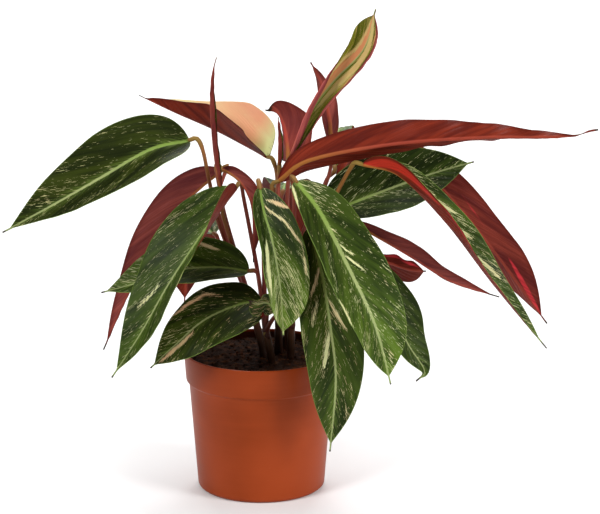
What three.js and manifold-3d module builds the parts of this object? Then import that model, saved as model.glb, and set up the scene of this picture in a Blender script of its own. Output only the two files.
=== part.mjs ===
// A potted prayer plant with long patterned leaves, standing in a plain round nursery pot.
// Millimetres, +Z up. The origin is the centre of the pot's underside.
// A blade is worked out from its midrib, its half width and the way its upper face looks.
import * as THREE from "three";
import { mergeVertices } from "three/addons/utils/BufferGeometryUtils.js";
import Module from "manifold-3d";

const wasm = await Module();
wasm.setup();

// Pot: driving sizes
const POT_HEIGHT = 128;
const RIM_RADIUS = 70;
const BASE_RADIUS = 58;
const BODY_TOP_RADIUS = 65.6;
const BAND_HEIGHT = 27;
const BAND_LOW_RADIUS = 68.2;
const BAND_STEP = 1.5;
const LIP_ROUND = 0.8;
const WALL = 1.8;
const FLOOR_TOP = 4;
const CORNER = 4.5;
const CORNER_STEPS = 3;
const FOOT_DISC = 40;
const FOOT_RING_INNER = 49;
const GROOVE_DEPTH = 2;
const GROOVE_SLOPE = 1;
const DRAIN_HOLES = 6;
const DRAIN_RADIUS = 3;
const DRAIN_SIDES = 10;
const POT_SIDES = 40;

// Soil: driving sizes
const SOIL_LEVEL = 120;
const SOIL_MOUND = 3;
const SOIL_BUMP = 0.7;
const SOIL_SIDES = 30;
const SOIL_RINGS = [52, 36, 18, 0];
const SOIL_WALL_GAP = 1;
const SOIL_EDGE = 3;
const HOLE_DEPTH = 20;
const HOLE_SIDES = 12;
const CLEARANCE = 0.4;

// Stems and leaf stalks
const STEM_RADIUS = 4.6;
const STEM_TOP_RADIUS = 3.2;
const STEM_SIDES = 8;
const STEM_COLLAR = 5;
const STALK_ROOT = 0.75;
const STALK_RADIUS = 2.1;
const STALK_TOP_RADIUS = 1.3;
const STALK_SIDES = 5;
const STALK_STEPS = 7;
const JOINT_RADIUS = 1.8;
const JOINT_START = 0.9;
const JOINT_LENGTH = 7;
const SEAT_GAP = 0.35;

// Blades: thickness, outline, folds and the wave of the margins
const BLADE_THICKNESS = 0.8;
const BLADE_ROWS = 11;
const ROW_CROWDING = 0.5;
const BODY_SHARE = 0.965;
const BASE_HALF = 1.4;
const TIP_HALF = 0.9;
const BASE_POWER = 2.2;
const BASE_ROUND = 0.54;
const TIP_DRAW = 1.05;
const CREASE_SHARE = 0.2;
const TIGHTEST_FOLD = 0.8;
const TIGHTEST_CURL = 0.9;
const RIB_HEIGHT = 0.9;
const RIB_FADE = 0.8;
const WAVE_HEIGHT = 0.9;
const WAVE_COUNT = 2.5;
const WAVE_SHIFT = 1.9;
const RUFFLE = 0.7;

// Where each shoot leaves the soil, and where its stalks part
const SHOOTS = {
  left: { foot: [3, -4], fork: [-7, -1, 165] },
  front: { foot: [10, -19], fork: [5, -18, 150] },
  middle: { foot: [16, 5], fork: [16, 4, 175] },
  right: { foot: [27, -9], fork: [28, -9, 160] },
  back: { foot: [22, 19], fork: [26, 18, 165] },
};

// Each leaf: its shoot, the way of its stalk up to the blade, its midrib from base to tip, the half
// width, where it is widest, how blunt it is, and how far it leans, which makes the right half wider
// and the left one narrower. Then the way the upper face looks from base to tip, and by how many
// degrees the left and right halves are folded and curled up, at the base and at the tip. A margin
// may have its own height and number of waves, and late waves grow towards the tip.
const GREEN = "leaf_green";
const WINE = "leaf_burgundy";
const LEAVES = [
  {
    name: "leaf_far_left", shade: GREEN, shoot: "left",
    stalk: [[-36, 6, 240], [-46, 6, 284], [-51, 3, 311]],
    rib: [[-63, 0, 322], [-98, -12, 316], [-141, -28, 294], [-180, -42, 274], [-226, -55, 251]],
    half: 36, widest: 0.34, blunt: 2.0,
    face: [[-0.1, -0.7, 0.7], [-0.2, -0.75, 0.65]], fold: [30, 30],
  },
  {
    name: "leaf_left", shade: GREEN, shoot: "front",
    stalk: [[-2, -12, 200], [-9, -10, 240], [-15, -14, 274]],
    rib: [[-21, -22, 284], [-46, -46, 255], [-79, -62, 208], [-105, -70, 163], [-131, -72, 123]],
    half: 39, widest: 0.25, blunt: 2.2,
    face: [[-0.6, -0.7, 0.4], [-0.6, -0.8, 0.0]], fold: [68, 8], foldTip: [25, 12],
  },
  {
    name: "leaf_left_behind", shade: WINE, shoot: "left",
    stalk: [[-36, 10, 245], [-38, 14, 270]],
    rib: [
      [-35, 20, 290], [-54, 29, 273], [-78, 38, 248],
      [-100, 42, 213], [-124, 42, 166], [-146, 40, 116],
    ],
    half: 21, widest: 0.28, blunt: 1.8, lean: -0.12,
    face: [[-0.2, 0.6, 0.7], [-0.7, 0.7, 0.1]], fold: [45, 45],
  },
  {
    name: "leaf_left_inner", shade: GREEN, shoot: "front",
    stalk: [[0, -22, 190]],
    rib: [[-10, -25, 208], [-41, -22, 211], [-81, -14, 205], [-113, -8, 192], [-144, -2, 182]],
    half: 27, widest: 0.4, blunt: 2.0, lean: 0.08,
    face: [[0, -0.6, 0.8], [-0.2, -0.7, 0.7]], fold: [25, 25],
  },
  {
    name: "leaf_low_left", shade: GREEN, shoot: "front",
    stalk: [[6, -22, 168]],
    rib: [[2, -30, 181], [-18, -42, 182], [-49, -54, 171], [-75, -62, 150], [-97, -66, 130]],
    half: 29, widest: 0.38, blunt: 2.4, lean: -0.1,
    face: [[0, -0.7, 0.7], [-0.3, -0.75, 0.6]], fold: [12, 12],
  },
  {
    name: "leaf_centre", shade: GREEN, shoot: "front",
    stalk: [[3, -21, 220], [4, -24, 270]],
    rib: [[0, -38, 287], [4, -50, 268], [11, -62, 246], [18, -74, 208], [21, -80, 163]],
    half: 25, widest: 0.5, blunt: 3.8, lean: -0.1,
    face: [[0, -0.8, 0.5], [0.1, -1, 0.1]], fold: [15, 60],
  },
  {
    name: "leaf_front", shade: GREEN, shoot: "right",
    stalk: [[30, -10, 220], [30, -14, 275]],
    rib: [[32, -22, 289], [53, -45, 267], [77, -70, 225], [101, -88, 176], [115, -96, 124]],
    half: 33, widest: 0.5, blunt: 3.6,
    face: [[0.3, -0.7, 0.6], [0.4, -0.9, 0.2]], fold: [12, 30],
  },
  {
    name: "leaf_low_front", shade: GREEN, shoot: "right",
    stalk: [[32, -16, 215]],
    rib: [[44, -38, 251], [55, -54, 212], [62, -72, 171], [67, -84, 124], [62, -86, 59]],
    half: 27, widest: 0.5, blunt: 2.4,
    face: [[0.1, -0.7, 0.6], [0, -1, 0]], fold: [12, 12],
  },
  {
    name: "leaf_low_right", shade: GREEN, shoot: "right",
    stalk: [[58, -14, 205]],
    rib: [[84, -20, 218], [112, -28, 185], [132, -32, 143], [147, -32, 118], [140, -34, 108]],
    half: 22, widest: 0.45, blunt: 2.2, lean: -0.12,
    face: [[0.4, -0.5, 0.7], [0.6, -0.8, 0]], fold: [15, 15],
  },
  {
    name: "leaf_right", shade: GREEN, shoot: "back",
    stalk: [[38, 20, 205]],
    rib: [[57, 18, 249], [88, 24, 261], [121, 28, 273], [157, 32, 285], [193, 34, 295]],
    half: 33, widest: 0.45, blunt: 2.0, lean: -0.1,
    face: [[0, -0.9, 0.4], [0, -0.9, 0.4]], fold: [10, 55], foldTip: [10, 10],
  },
  {
    name: "leaf_right_drooping", shade: GREEN, shoot: "right",
    stalk: [[48, -2, 230], [70, -4, 278], [82, -12, 302]],
    rib: [[91, -18, 304], [124, -32, 297], [164, -46, 259], [206, -56, 205], [254, -62, 147]],
    half: 21, widest: 0.45, blunt: 1.9, lean: 0.12,
    face: [
      [0.5, 0.3, 0.8], [0.55, -0.2, 0.8], [0.61, -0.24, 0.7],
      [0.66, -0.28, 0.62], [0.72, -0.32, 0.55],
    ],
    fold: [50, 55], foldTip: [50, 22],
  },
  {
    name: "leaf_right_behind", shade: WINE, shoot: "back",
    stalk: [[50, 34, 240], [84, 48, 296]],
    rib: [[100, 52, 306], [138, 52, 292], [174, 42, 258], [216, 22, 209], [259, -6, 154]],
    half: 23, widest: 0.62, blunt: 2.8,
    face: [[0.3, 0.95, 0.1], [0.6, 0.8, 0.2]], fold: [30, 20],
  },
  {
    name: "leaf_right_long", shade: WINE, shoot: "right",
    stalk: [[24, -8, 225], [16, -10, 262]],
    rib: [
      [16, -8, 286], [44, -14, 307], [115, -22, 323],
      [194, -26, 330], [265, -28, 331], [298, -30, 338],
    ],
    half: 24, widest: 0.42, blunt: 1.3, rows: 34,
    face: [[0, 0.98, 0.17], [0, 0.95, 0.3]], fold: [35, 58], foldTip: [75, 60],
    wave: [1.5, 5], waves: 7, late: 2,
  },
  {
    name: "leaf_right_inner", shade: WINE, shoot: "right",
    stalk: [[52, 2, 222]],
    rib: [[82, -3, 248], [113, -4, 230], [135, -6, 217], [172, -8, 194], [215, -10, 180]],
    half: 13, widest: 0.45, blunt: 1.7,
    face: [[0.3, 0.6, 0.7], [0.4, 0.7, 0.6]], fold: [30, 30],
  },
  {
    name: "leaf_right_small", shade: WINE, shoot: "right",
    stalk: [[62, 10, 190]],
    rib: [[101, 21, 210], [119, 21, 203], [135, 19, 198], [150, 17, 197]],
    half: 17, widest: 0.6, blunt: 2.8, lean: -0.4, rows: 8,
    face: [[0.2, 0.7, 0.6], [0.3, 0.7, 0.6]], fold: [5, 25],
  },
  {
    name: "leaf_upper_left", shade: WINE, shoot: "middle",
    stalk: [[14, 12, 230], [15, 18, 280]],
    rib: [[7, 20, 302], [-7, 38, 306], [-42, 58, 320], [-79, 68, 334], [-112, 72, 349]],
    half: 37, widest: 0.36, blunt: 1.3,
    face: [[-0.05, -0.3, 0.95], [0, 0.25, 1]], fold: [62, 50],
  },
  {
    name: "leaf_unrolling", shade: WINE, shoot: "middle",
    stalk: [[22, 6, 240], [25, 12, 290]],
    rib: [[27, 13, 304], [42, 9, 340], [64, 5, 373], [92, 0, 405], [102, -6, 441]],
    half: 18, widest: 0.76, blunt: 4.4, lean: 0.1,
    face: [[0.7, -0.6, -0.2], [-0.5, -0.75, 0.3]], fold: [10, 10], curl: [200, 190],
    curlTip: [30, 70],
  },
  {
    name: "leaf_upright_behind", shade: WINE, shoot: "back",
    stalk: [[46, 27, 240], [62, 29, 285]],
    rib: [[63, 24, 315], [62, 25, 337], [55, 26, 367], [45, 26, 388]],
    half: 9.5, widest: 0.45, blunt: 1.8, rows: 9,
    face: [[0.2, 1, 0.1], [0.3, 0.9, 0.4]], fold: [30, 30],
  },
  {
    name: "leaf_upright_short", shade: WINE, shoot: "middle",
    stalk: [[22, 18, 240], [25, 22, 280]],
    rib: [[25, 24, 299], [24, 34, 312], [21, 46, 326], [15, 56, 336], [4, 62, 337]],
    half: 25, widest: 0.5, blunt: 1.8, rows: 9,
    face: [[0, 1, 0.1], [0.3, 0.9, 0.3]], fold: [10, 70],
  },
  {
    name: "leaf_rolled_tall", shade: WINE, shoot: "left",
    stalk: [[-31, -5, 245], [-34, -11, 266]],
    rib: [[-35, -14, 281], [-40, -18, 314], [-43, -19, 355], [-42, -18, 382], [-38, -16, 400]],
    half: 6.5, widest: 0.45, blunt: 2.6, rows: 9,
    face: [[1, -0.2, 0], [1, -0.2, 0]], fold: [10, 10], curl: [140, 140],
  },
  {
    name: "leaf_rolled_short", shade: WINE, shoot: "middle",
    stalk: [[15, 4, 235], [16, 7, 275]],
    rib: [[17, 8, 298], [17, 9, 321], [16, 10, 341]],
    half: 5, widest: 0.35, blunt: 1.8, rows: 7,
    face: [[1, -0.3, 0], [1, -0.3, 0]], fold: [10, 10], curl: [130, 130],
  },
  {
    name: "leaf_hanging_red", shade: WINE, shoot: "left",
    stalk: [[-30, 1, 245], [-36, 0, 275]],
    rib: [[-34, -6, 297], [-22, -15, 292], [-12, -24, 282], [-6, -28, 262], [-6, -28, 217]],
    half: 10, widest: 0.3, blunt: 2.0,
    face: [[0.3, 0.6, 0.8], [0.9, 0.4, 0]], fold: [55, 55],
  },
  {
    name: "leaf_crumpled", shade: GREEN, shoot: "front",
    stalk: [[12, -30, 166]],
    rib: [[15, -46, 178], [6, -52, 186], [-3, -56, 186], [-10, -58, 190]],
    half: 13, widest: 0.5, blunt: 2.6, rows: 8,
    face: [[0, -0.9, -0.2], [-0.3, -0.8, -0.4]], fold: [20, 20], wave: [2, 2], waves: 3,
  },
  {
    name: "leaf_back_left", shade: GREEN, shoot: "left",
    stalk: [[-16, 22, 185], [-36, 46, 212]],
    rib: [[-44, 58, 222], [-56, 88, 222], [-66, 120, 200], [-72, 146, 164], [-76, 160, 128]],
    half: 30, widest: 0.45, blunt: 2.2,
    face: [[-0.1, -0.4, 0.9], [-0.3, 0.9, 0.3]], fold: [15, 15],
  },
  {
    name: "leaf_back", shade: GREEN, shoot: "middle",
    stalk: [[16, 26, 220], [18, 50, 254]],
    rib: [[20, 60, 262], [22, 92, 262], [24, 128, 238], [24, 152, 200], [24, 162, 158]],
    half: 25, widest: 0.45, blunt: 2.4,
    face: [[0, -0.3, 0.9], [0, 0.9, 0.3]], fold: [15, 15],
  },
  {
    name: "leaf_back_right", shade: GREEN, shoot: "back",
    stalk: [[44, 34, 220], [58, 44, 272]],
    rib: [[67, 50, 287], [70, 76, 307], [72, 106, 310], [80, 136, 262], [84, 150, 196]],
    half: 14, widest: 0.45, blunt: 2.4,
    face: [[0, -0.3, 0.9], [0.2, 0.9, 0.4]], fold: [15, 15],
  },
];

const COLOURS = {
  pot: new THREE.MeshStandardMaterial({ color: 0xb5532c, roughness: 0.45, metalness: 0 }),
  soil: new THREE.MeshStandardMaterial({ color: 0x2a1c14, roughness: 0.95, metalness: 0 }),
  stalk: new THREE.MeshStandardMaterial({ color: 0x8a5236, roughness: 0.6, metalness: 0 }),
  leaf_green: new THREE.MeshStandardMaterial({ color: 0x2f5326, roughness: 0.4, metalness: 0 }),
  leaf_burgundy: new THREE.MeshStandardMaterial({ color: 0x6e1f26, roughness: 0.55, metalness: 0 }),
};

const radians = THREE.MathUtils.degToRad;
const mix = THREE.MathUtils.lerp;
const vector = (p) => new THREE.Vector3(...p);
const smooth = (points) => new THREE.CatmullRomCurve3(points.map(vector), false, "catmullrom", 0.5);

// Solids and meshes
function toSolid(geometry) {
  const bare = geometry.clone();
  bare.deleteAttribute("normal");
  bare.deleteAttribute("uv");
  const merged = mergeVertices(bare, 1e-3);
  return new wasm.Manifold(
    new wasm.Mesh({
      numProp: 3,
      vertProperties: merged.attributes.position.array,
      triVerts: new Uint32Array(merged.index.array),
    }),
  );
}

function toGeometry(solid) {
  const mesh = solid.getMesh();
  const geometry = new THREE.BufferGeometry();
  geometry.setAttribute("position", new THREE.BufferAttribute(mesh.vertProperties, 3));
  geometry.setIndex(new THREE.BufferAttribute(mesh.triVerts, 1));
  geometry.computeVertexNormals();
  return geometry;
}

function closedGeometry(vertices, faces) {
  const geometry = new THREE.BufferGeometry();
  geometry.setAttribute("position", new THREE.Float32BufferAttribute(vertices.flat(), 3));
  geometry.setIndex(faces.flat());
  geometry.computeVertexNormals();
  return geometry;
}

function node(name, geometry, material) {
  const mesh = new THREE.Mesh(geometry, material);
  mesh.name = name;
  return mesh;
}

// A lathe profile is given as [radius, height] and turned about the pot's axis.
function turned(profile, sides) {
  const points = profile.map(([radius, height]) => new THREE.Vector2(radius, height));
  return new THREE.LatheGeometry(points, sides).rotateX(Math.PI / 2);
}

function pin(x, y, low, high, radius, sides) {
  return turned([[0, low], [radius, low], [radius, high], [0, high]], sides).translate(x, y, 0);
}

// Pot: the outside from the foot up, over the lip, and the inside down to the floor
const bandLow = POT_HEIGHT - BAND_HEIGHT;
const bodyRadius = (z) => mix(BASE_RADIUS, BODY_TOP_RADIUS, (z - CORNER) / (bandLow - CORNER));
const bandRadius = (z) => mix(BAND_LOW_RADIUS, RIM_RADIUS, (z - bandLow) / BAND_HEIGHT);

function cornerArc(steps) {
  return Array.from({ length: steps + 1 }, (_, i) => {
    const angle = (Math.PI / 2) * (i / steps);
    return [BASE_RADIUS - CORNER + CORNER * Math.sin(angle), CORNER - CORNER * Math.cos(angle)];
  });
}

function makePot() {
  const profile = [
    [0, 0],
    [FOOT_DISC, 0],
    [FOOT_DISC + GROOVE_SLOPE, GROOVE_DEPTH],
    [FOOT_RING_INNER - GROOVE_SLOPE, GROOVE_DEPTH],
    [FOOT_RING_INNER, 0],
    ...cornerArc(CORNER_STEPS),
    [bodyRadius(bandLow - BAND_STEP), bandLow - BAND_STEP],
    [BAND_LOW_RADIUS - LIP_ROUND, bandLow],
    [BAND_LOW_RADIUS, bandLow + BAND_STEP],
    [RIM_RADIUS, POT_HEIGHT - LIP_ROUND],
    [RIM_RADIUS - LIP_ROUND, POT_HEIGHT],
    [RIM_RADIUS - WALL, POT_HEIGHT],
    [RIM_RADIUS - WALL - LIP_ROUND / 2, POT_HEIGHT - LIP_ROUND],
    [BAND_LOW_RADIUS - WALL, bandLow + BAND_STEP],
    [bodyRadius(bandLow) - WALL, bandLow - BAND_STEP],
    [BASE_RADIUS - WALL, CORNER],
    [BASE_RADIUS - CORNER, FLOOR_TOP],
    [0, FLOOR_TOP],
  ];
  let solid = toSolid(turned(profile, POT_SIDES));
  const reach = (FOOT_DISC + FOOT_RING_INNER) / 2;
  for (let i = 0; i < DRAIN_HOLES; i += 1) {
    const angle = (2 * Math.PI * i) / DRAIN_HOLES;
    const centre = [reach * Math.cos(angle), reach * Math.sin(angle)];
    const drill = pin(...centre, -FLOOR_TOP, 2 * FLOOR_TOP, DRAIN_RADIUS, DRAIN_SIDES);
    solid = solid.subtract(toSolid(drill));
  }
  return toGeometry(solid);
}

// Soil, mounded a little in the middle and lumpy, with a plain hole for the foot of each shoot
function soilHeight(x, y) {
  const away = Math.hypot(x, y) / RIM_RADIUS;
  const lumps = Math.sin(0.31 * x + 1.3) * Math.cos(0.27 * y) + 0.6 * Math.sin(0.53 * y + 0.41 * x);
  return SOIL_LEVEL + SOIL_MOUND * (1 - away * away) + SOIL_BUMP * lumps;
}

function makeSoil() {
  const low = FLOOR_TOP + CLEARANCE;
  const inset = WALL + SOIL_WALL_GAP;
  const profile = [
    [0, low],
    [BASE_RADIUS - CORNER - SOIL_WALL_GAP, low],
    [BASE_RADIUS - inset, CORNER + BAND_STEP],
    [bodyRadius(bandLow) - inset, bandLow - BAND_STEP],
    [bandRadius(bandLow) - inset, bandLow + 2 * BAND_STEP],
    [bandRadius(SOIL_LEVEL) - inset, SOIL_LEVEL - SOIL_EDGE],
    [bandRadius(SOIL_LEVEL) - inset - SOIL_EDGE / 2, SOIL_LEVEL],
    ...SOIL_RINGS.map((radius) => [radius, SOIL_LEVEL]),
  ];
  const geometry = turned(profile, SOIL_SIDES);
  const place = geometry.attributes.position;
  for (let i = 0; i < place.count; i += 1) {
    if (place.getZ(i) > SOIL_LEVEL - 1) place.setZ(i, soilHeight(place.getX(i), place.getY(i)));
  }
  let solid = toSolid(geometry);
  for (const { foot } of Object.values(SHOOTS)) {
    const low = SOIL_LEVEL - HOLE_DEPTH;
    const high = SOIL_LEVEL + 3 * SOIL_MOUND;
    const hole = pin(...foot, low, high, STEM_RADIUS + CLEARANCE, HOLE_SIDES);
    solid = solid.subtract(toSolid(hole));
  }
  return toGeometry(solid);
}

// A closed tube along a smooth way, with its radius given as a function of the share travelled
function tube(points, radiusAt, sides, steps) {
  const way = smooth(points);
  const frames = way.computeFrenetFrames(steps, false);
  const vertices = [];
  const faces = [];
  for (let i = 0; i <= steps; i += 1) {
    const centre = way.getPointAt(i / steps);
    for (let j = 0; j < sides; j += 1) {
      const angle = (2 * Math.PI * j) / sides;
      const out = frames.normals[i].clone().multiplyScalar(Math.cos(angle));
      out.addScaledVector(frames.binormals[i], Math.sin(angle));
      vertices.push(centre.clone().addScaledVector(out, radiusAt(i / steps)).toArray());
    }
  }
  for (let i = 0; i < steps; i += 1) {
    for (let j = 0; j < sides; j += 1) {
      const a = i * sides + j;
      const b = i * sides + ((j + 1) % sides);
      faces.push([a, b, b + sides], [a, b + sides, a + sides]);
    }
  }
  const last = steps * sides;
  for (let j = 1; j < sides - 1; j += 1) {
    faces.push([0, j + 1, j], [last, last + j, last + j + 1]);
  }
  return closedGeometry(vertices, faces);
}

// The stalk thins upwards and ends in a slightly thicker joint under the blade.
function stalkRadius(share) {
  return share > JOINT_START ? JOINT_RADIUS : mix(STALK_RADIUS, STALK_TOP_RADIUS, share / JOINT_START);
}

// A shoot: its foot in the soil, its stem up to the fork, and a stalk from there to each of its blades
function makeShoot(key) {
  const { foot, fork } = SHOOTS[key];
  const low = SOIL_LEVEL - HOLE_DEPTH + CLEARANCE;
  const high = SOIL_LEVEL + STEM_COLLAR;
  const start = [...foot, high - SOIL_MOUND];
  const stemRadius = (share) => mix(STEM_RADIUS - CLEARANCE, STEM_TOP_RADIUS, share);
  let solid = toSolid(pin(...foot, low, high, STEM_RADIUS, STEM_SIDES));
  solid = solid.add(toSolid(tube([start, fork], stemRadius, STEM_SIDES, 2)));
  const root = vector(start).lerp(vector(fork), STALK_ROOT).toArray();
  for (const leaf of LEAVES.filter(({ shoot }) => shoot === key)) {
    const base = vector(leaf.rib[0]);
    const heading = vector(leaf.rib[1]).sub(base).normalize();
    const end = base.clone().addScaledVector(heading, -SEAT_GAP).toArray();
    const approach = base.clone().addScaledVector(heading, -JOINT_LENGTH).toArray();
    const way = [root, fork, ...leaf.stalk, approach, end];
    solid = solid.add(toSolid(tube(way, stalkRadius, STALK_SIDES, STALK_STEPS)));
  }
  return toGeometry(solid);
}

// The width of one half at a share of the length: a rounded base, a full middle, a drawn-out tip.
// In a leaf that leans, one half is wider than the other.
function halfWidth(leaf, share, hand) {
  const half = leaf.half * (1 + hand * (leaf.lean ?? 0));
  const along = Math.min(share / BODY_SHARE, 1);
  if (along < leaf.widest) {
    const back = 1 - along / leaf.widest;
    return Math.max(BASE_HALF, half * (1 - back ** BASE_POWER) ** BASE_ROUND);
  }
  const ahead = (along - leaf.widest) / (1 - leaf.widest);
  return Math.max(TIP_HALF, half * (1 - ahead ** leaf.blunt) ** TIP_DRAW);
}

// The end of an arc of a given length that starts at one angle and turns by another
function bend(length, from, turn) {
  if (Math.abs(turn) < 1e-4) return [length * Math.cos(from), length * Math.sin(from)];
  const radius = length / turn;
  const out = radius * (Math.sin(from + turn) - Math.sin(from));
  const up = radius * (Math.cos(from) - Math.cos(from + turn));
  return [out, up];
}

// Where a point of one half lies, at a distance from the midrib: out along the side and up along the
// face. The half turns up by the fold within a narrow crease, and by the curl over the rest.
function section(distance, width, foldAngle, curlAngle) {
  const crease = CREASE_SHARE * width;
  const fold = Math.min(foldAngle, crease / (TIGHTEST_FOLD * BLADE_THICKNESS));
  const curl = Math.min(curlAngle, (width - crease) / (TIGHTEST_CURL * BLADE_THICKNESS));
  const inner = Math.min(distance, crease);
  const folded = (fold * inner) / crease;
  const turn = (curl * (distance - inner)) / (width - crease);
  const [firstOut, firstUp] = bend(inner, 0, folded);
  const [restOut, restUp] = bend(distance - inner, folded, turn);
  return { out: firstOut + restOut, up: firstUp + restUp, angle: folded + turn };
}

// How far a point of the margin is lifted by the wave, which fades towards the midrib and both ends
function waveLift(leaf, share, spread, half) {
  const ripple = Math.sin(2 * Math.PI * (leaf.waves ?? WAVE_COUNT) * share + half * WAVE_SHIFT);
  const height = leaf.wave ?? [WAVE_HEIGHT, WAVE_HEIGHT];
  return height[half] * Math.sin(Math.PI * share ** (leaf.late ?? 1)) * spread ** 2 * ripple;
}

function blade(leaf) {
  const way = smooth(leaf.rib);
  const faces = smooth(leaf.face);
  const rows = leaf.rows ?? BLADE_ROWS;
  const perSide = leaf.curl ? 4 : 3;
  const foldTip = leaf.foldTip ?? leaf.fold;
  const curl = leaf.curl ?? [0, 0];
  const curlTip = leaf.curlTip ?? curl;
  const upper = [];
  const lower = [];
  for (let i = 0; i <= rows; i += 1) {
    const even = i / rows;
    const share = mix(even, (1 - Math.cos(Math.PI * even)) / 2, ROW_CROWDING);
    const centre = way.getPointAt(share);
    const along = way.getTangentAt(share);
    const face = faces.getPoint(share);
    face.addScaledVector(along, -face.dot(along)).normalize();
    const side = along.clone().cross(face);
    for (let j = -perSide; j <= perSide; j += 1) {
      const half = j < 0 ? 0 : 1;
      const hand = j < 0 ? -1 : 1;
      const width = halfWidth(leaf, share, hand);
      const step = Math.abs(j);
      const spread = step === 0 ? 0 : mix(CREASE_SHARE, 1, (step - 1) / (perSide - 1));
      const fold = radians(mix(leaf.fold[half], foldTip[half], share));
      const roll = radians(mix(curl[half], curlTip[half], share));
      const { out, up, angle } = section(spread * width, width, fold, roll);
      const normal = face.clone().multiplyScalar(Math.cos(angle));
      normal.addScaledVector(side, -hand * Math.sin(angle));
      const outward = side.clone().multiplyScalar(hand * Math.cos(angle));
      outward.addScaledVector(face, Math.sin(angle));
      const lift = waveLift(leaf, share, spread, half);
      const middle = centre.clone().addScaledVector(side, hand * out).addScaledVector(face, up);
      middle.addScaledVector(normal, lift).addScaledVector(outward, RUFFLE * lift);
      const rib = step === 0 ? RIB_HEIGHT * (1 - RIB_FADE * share) : 0;
      upper.push(middle.clone().addScaledVector(normal, BLADE_THICKNESS / 2).toArray());
      lower.push(middle.addScaledVector(normal, -BLADE_THICKNESS / 2 - rib).toArray());
    }
  }
  return closedGeometry([...upper, ...lower], bladeFaces(rows, 2 * perSide));
}

// Upper face, underside, the two margins, the base and the tip of a blade's grid
function bladeFaces(rows, columns) {
  const count = (rows + 1) * (columns + 1);
  const at = (i, j) => i * (columns + 1) + j;
  const top = [];
  const bottom = [];
  const edges = [];
  for (let i = 0; i < rows; i += 1) {
    for (let j = 0; j < columns; j += 1) {
      const [a, b, c, d] = [at(i, j), at(i, j + 1), at(i + 1, j + 1), at(i + 1, j)];
      top.push([a, b, c], [a, c, d]);
      bottom.push([a + count, c + count, b + count], [a + count, d + count, c + count]);
    }
    const [l, m] = [at(i, 0), at(i + 1, 0)];
    edges.push([l, m, m + count], [l, m + count, l + count]);
    const [r, s] = [at(i, columns), at(i + 1, columns)];
    edges.push([r, r + count, s + count], [r, s + count, s]);
  }
  for (let j = 0; j < columns; j += 1) {
    const [a, b] = [at(0, j), at(0, j + 1)];
    edges.push([a, a + count, b + count], [a, b + count, b]);
    const [c, d] = [at(rows, j), at(rows, j + 1)];
    edges.push([c, d, d + count], [c, d + count, c + count]);
  }
  return [...top, ...bottom, ...edges];
}

// The whole plant in its pot
const plant = new THREE.Group();
plant.add(node("pot", makePot(), COLOURS.pot));
plant.add(node("soil", makeSoil(), COLOURS.soil));
for (const key of Object.keys(SHOOTS)) {
  plant.add(node(`shoot_${key}`, makeShoot(key), COLOURS.stalk));
}
for (const leaf of LEAVES) {
  plant.add(node(leaf.name, blade(leaf), COLOURS[leaf.shade]));
}

export default plant;
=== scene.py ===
"""A potted prayer plant: long striped leaves with wine-red undersides in a plain nursery pot.

The tables are in millimetres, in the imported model's frame. The scene itself is in metres.
"""

import math
import random
from bisect import bisect_left
from types import SimpleNamespace

import bmesh
import bpy
from bpy.props import FloatProperty, FloatVectorProperty, IntProperty, PointerProperty
from mathutils import Matrix, Vector, noise


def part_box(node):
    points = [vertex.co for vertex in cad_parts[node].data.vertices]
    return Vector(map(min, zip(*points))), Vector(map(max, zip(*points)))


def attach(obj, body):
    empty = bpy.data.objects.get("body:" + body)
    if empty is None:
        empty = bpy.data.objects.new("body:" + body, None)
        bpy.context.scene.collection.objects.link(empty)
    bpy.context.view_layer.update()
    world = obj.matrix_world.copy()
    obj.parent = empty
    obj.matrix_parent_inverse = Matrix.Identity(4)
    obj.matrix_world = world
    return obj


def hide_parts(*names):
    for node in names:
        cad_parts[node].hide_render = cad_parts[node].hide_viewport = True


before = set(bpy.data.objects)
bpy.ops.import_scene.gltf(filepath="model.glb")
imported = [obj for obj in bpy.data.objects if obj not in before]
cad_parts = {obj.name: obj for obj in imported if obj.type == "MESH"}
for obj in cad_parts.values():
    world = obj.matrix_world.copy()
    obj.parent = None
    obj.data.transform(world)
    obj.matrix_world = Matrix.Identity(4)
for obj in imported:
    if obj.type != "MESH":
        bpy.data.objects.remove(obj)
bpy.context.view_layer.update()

bl_info = {
    "name": "Potted prayer plant",
    "version": (1, 0, 0),
    "blender": (4, 5, 0),
    "location": "3D View > Sidebar > Prayer plant",
    "description": "Builds a prayer plant with striped leaves in a plain round nursery pot",
    "category": "Add Mesh",
}

MM = 0.001

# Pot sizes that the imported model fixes
POT_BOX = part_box("pot")
BASE_RADIUS = 58
BODY_TOP_RADIUS = 65.6
BAND_HEIGHT = 27
BAND_LOW_RADIUS = 68.2
FLOOR_TOP = 4
CORNER = 4.5
FOOT_DISC = 40
FOOT_RING_INNER = 49
GROOVE_DEPTH = 2
DRAIN_HOLES = 6
DRAIN_RADIUS = 3
DRAIN_SIDES = 32
DRAIN_PIN_LENGTH = 16
POT_TURNS = 128

# Painted shade on the inner wall above the soil, in metres: each pair is where it is bare and where it
# is fully dark, measured down from the rim for its upper and lower end, and inwards from it
SHADE_UPPER = (0.001, 0.003)
SHADE_LOWER = (0.014, 0.012)
SHADE_INWARDS = (0.0012, 0.0016)
INNER_SHADE_COLOUR = (0.018, 0.007, 0.003)
SCUFF_COLOUR = (0.5, 0.2, 0.1)

# Soil and its loose crumbs
SOIL_GAP = 0.5
SOIL_RINGS = 60
SOIL_TURNS = 180
CRUMB_SEED = 41
CHIP_SHARE = 0.16

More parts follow.
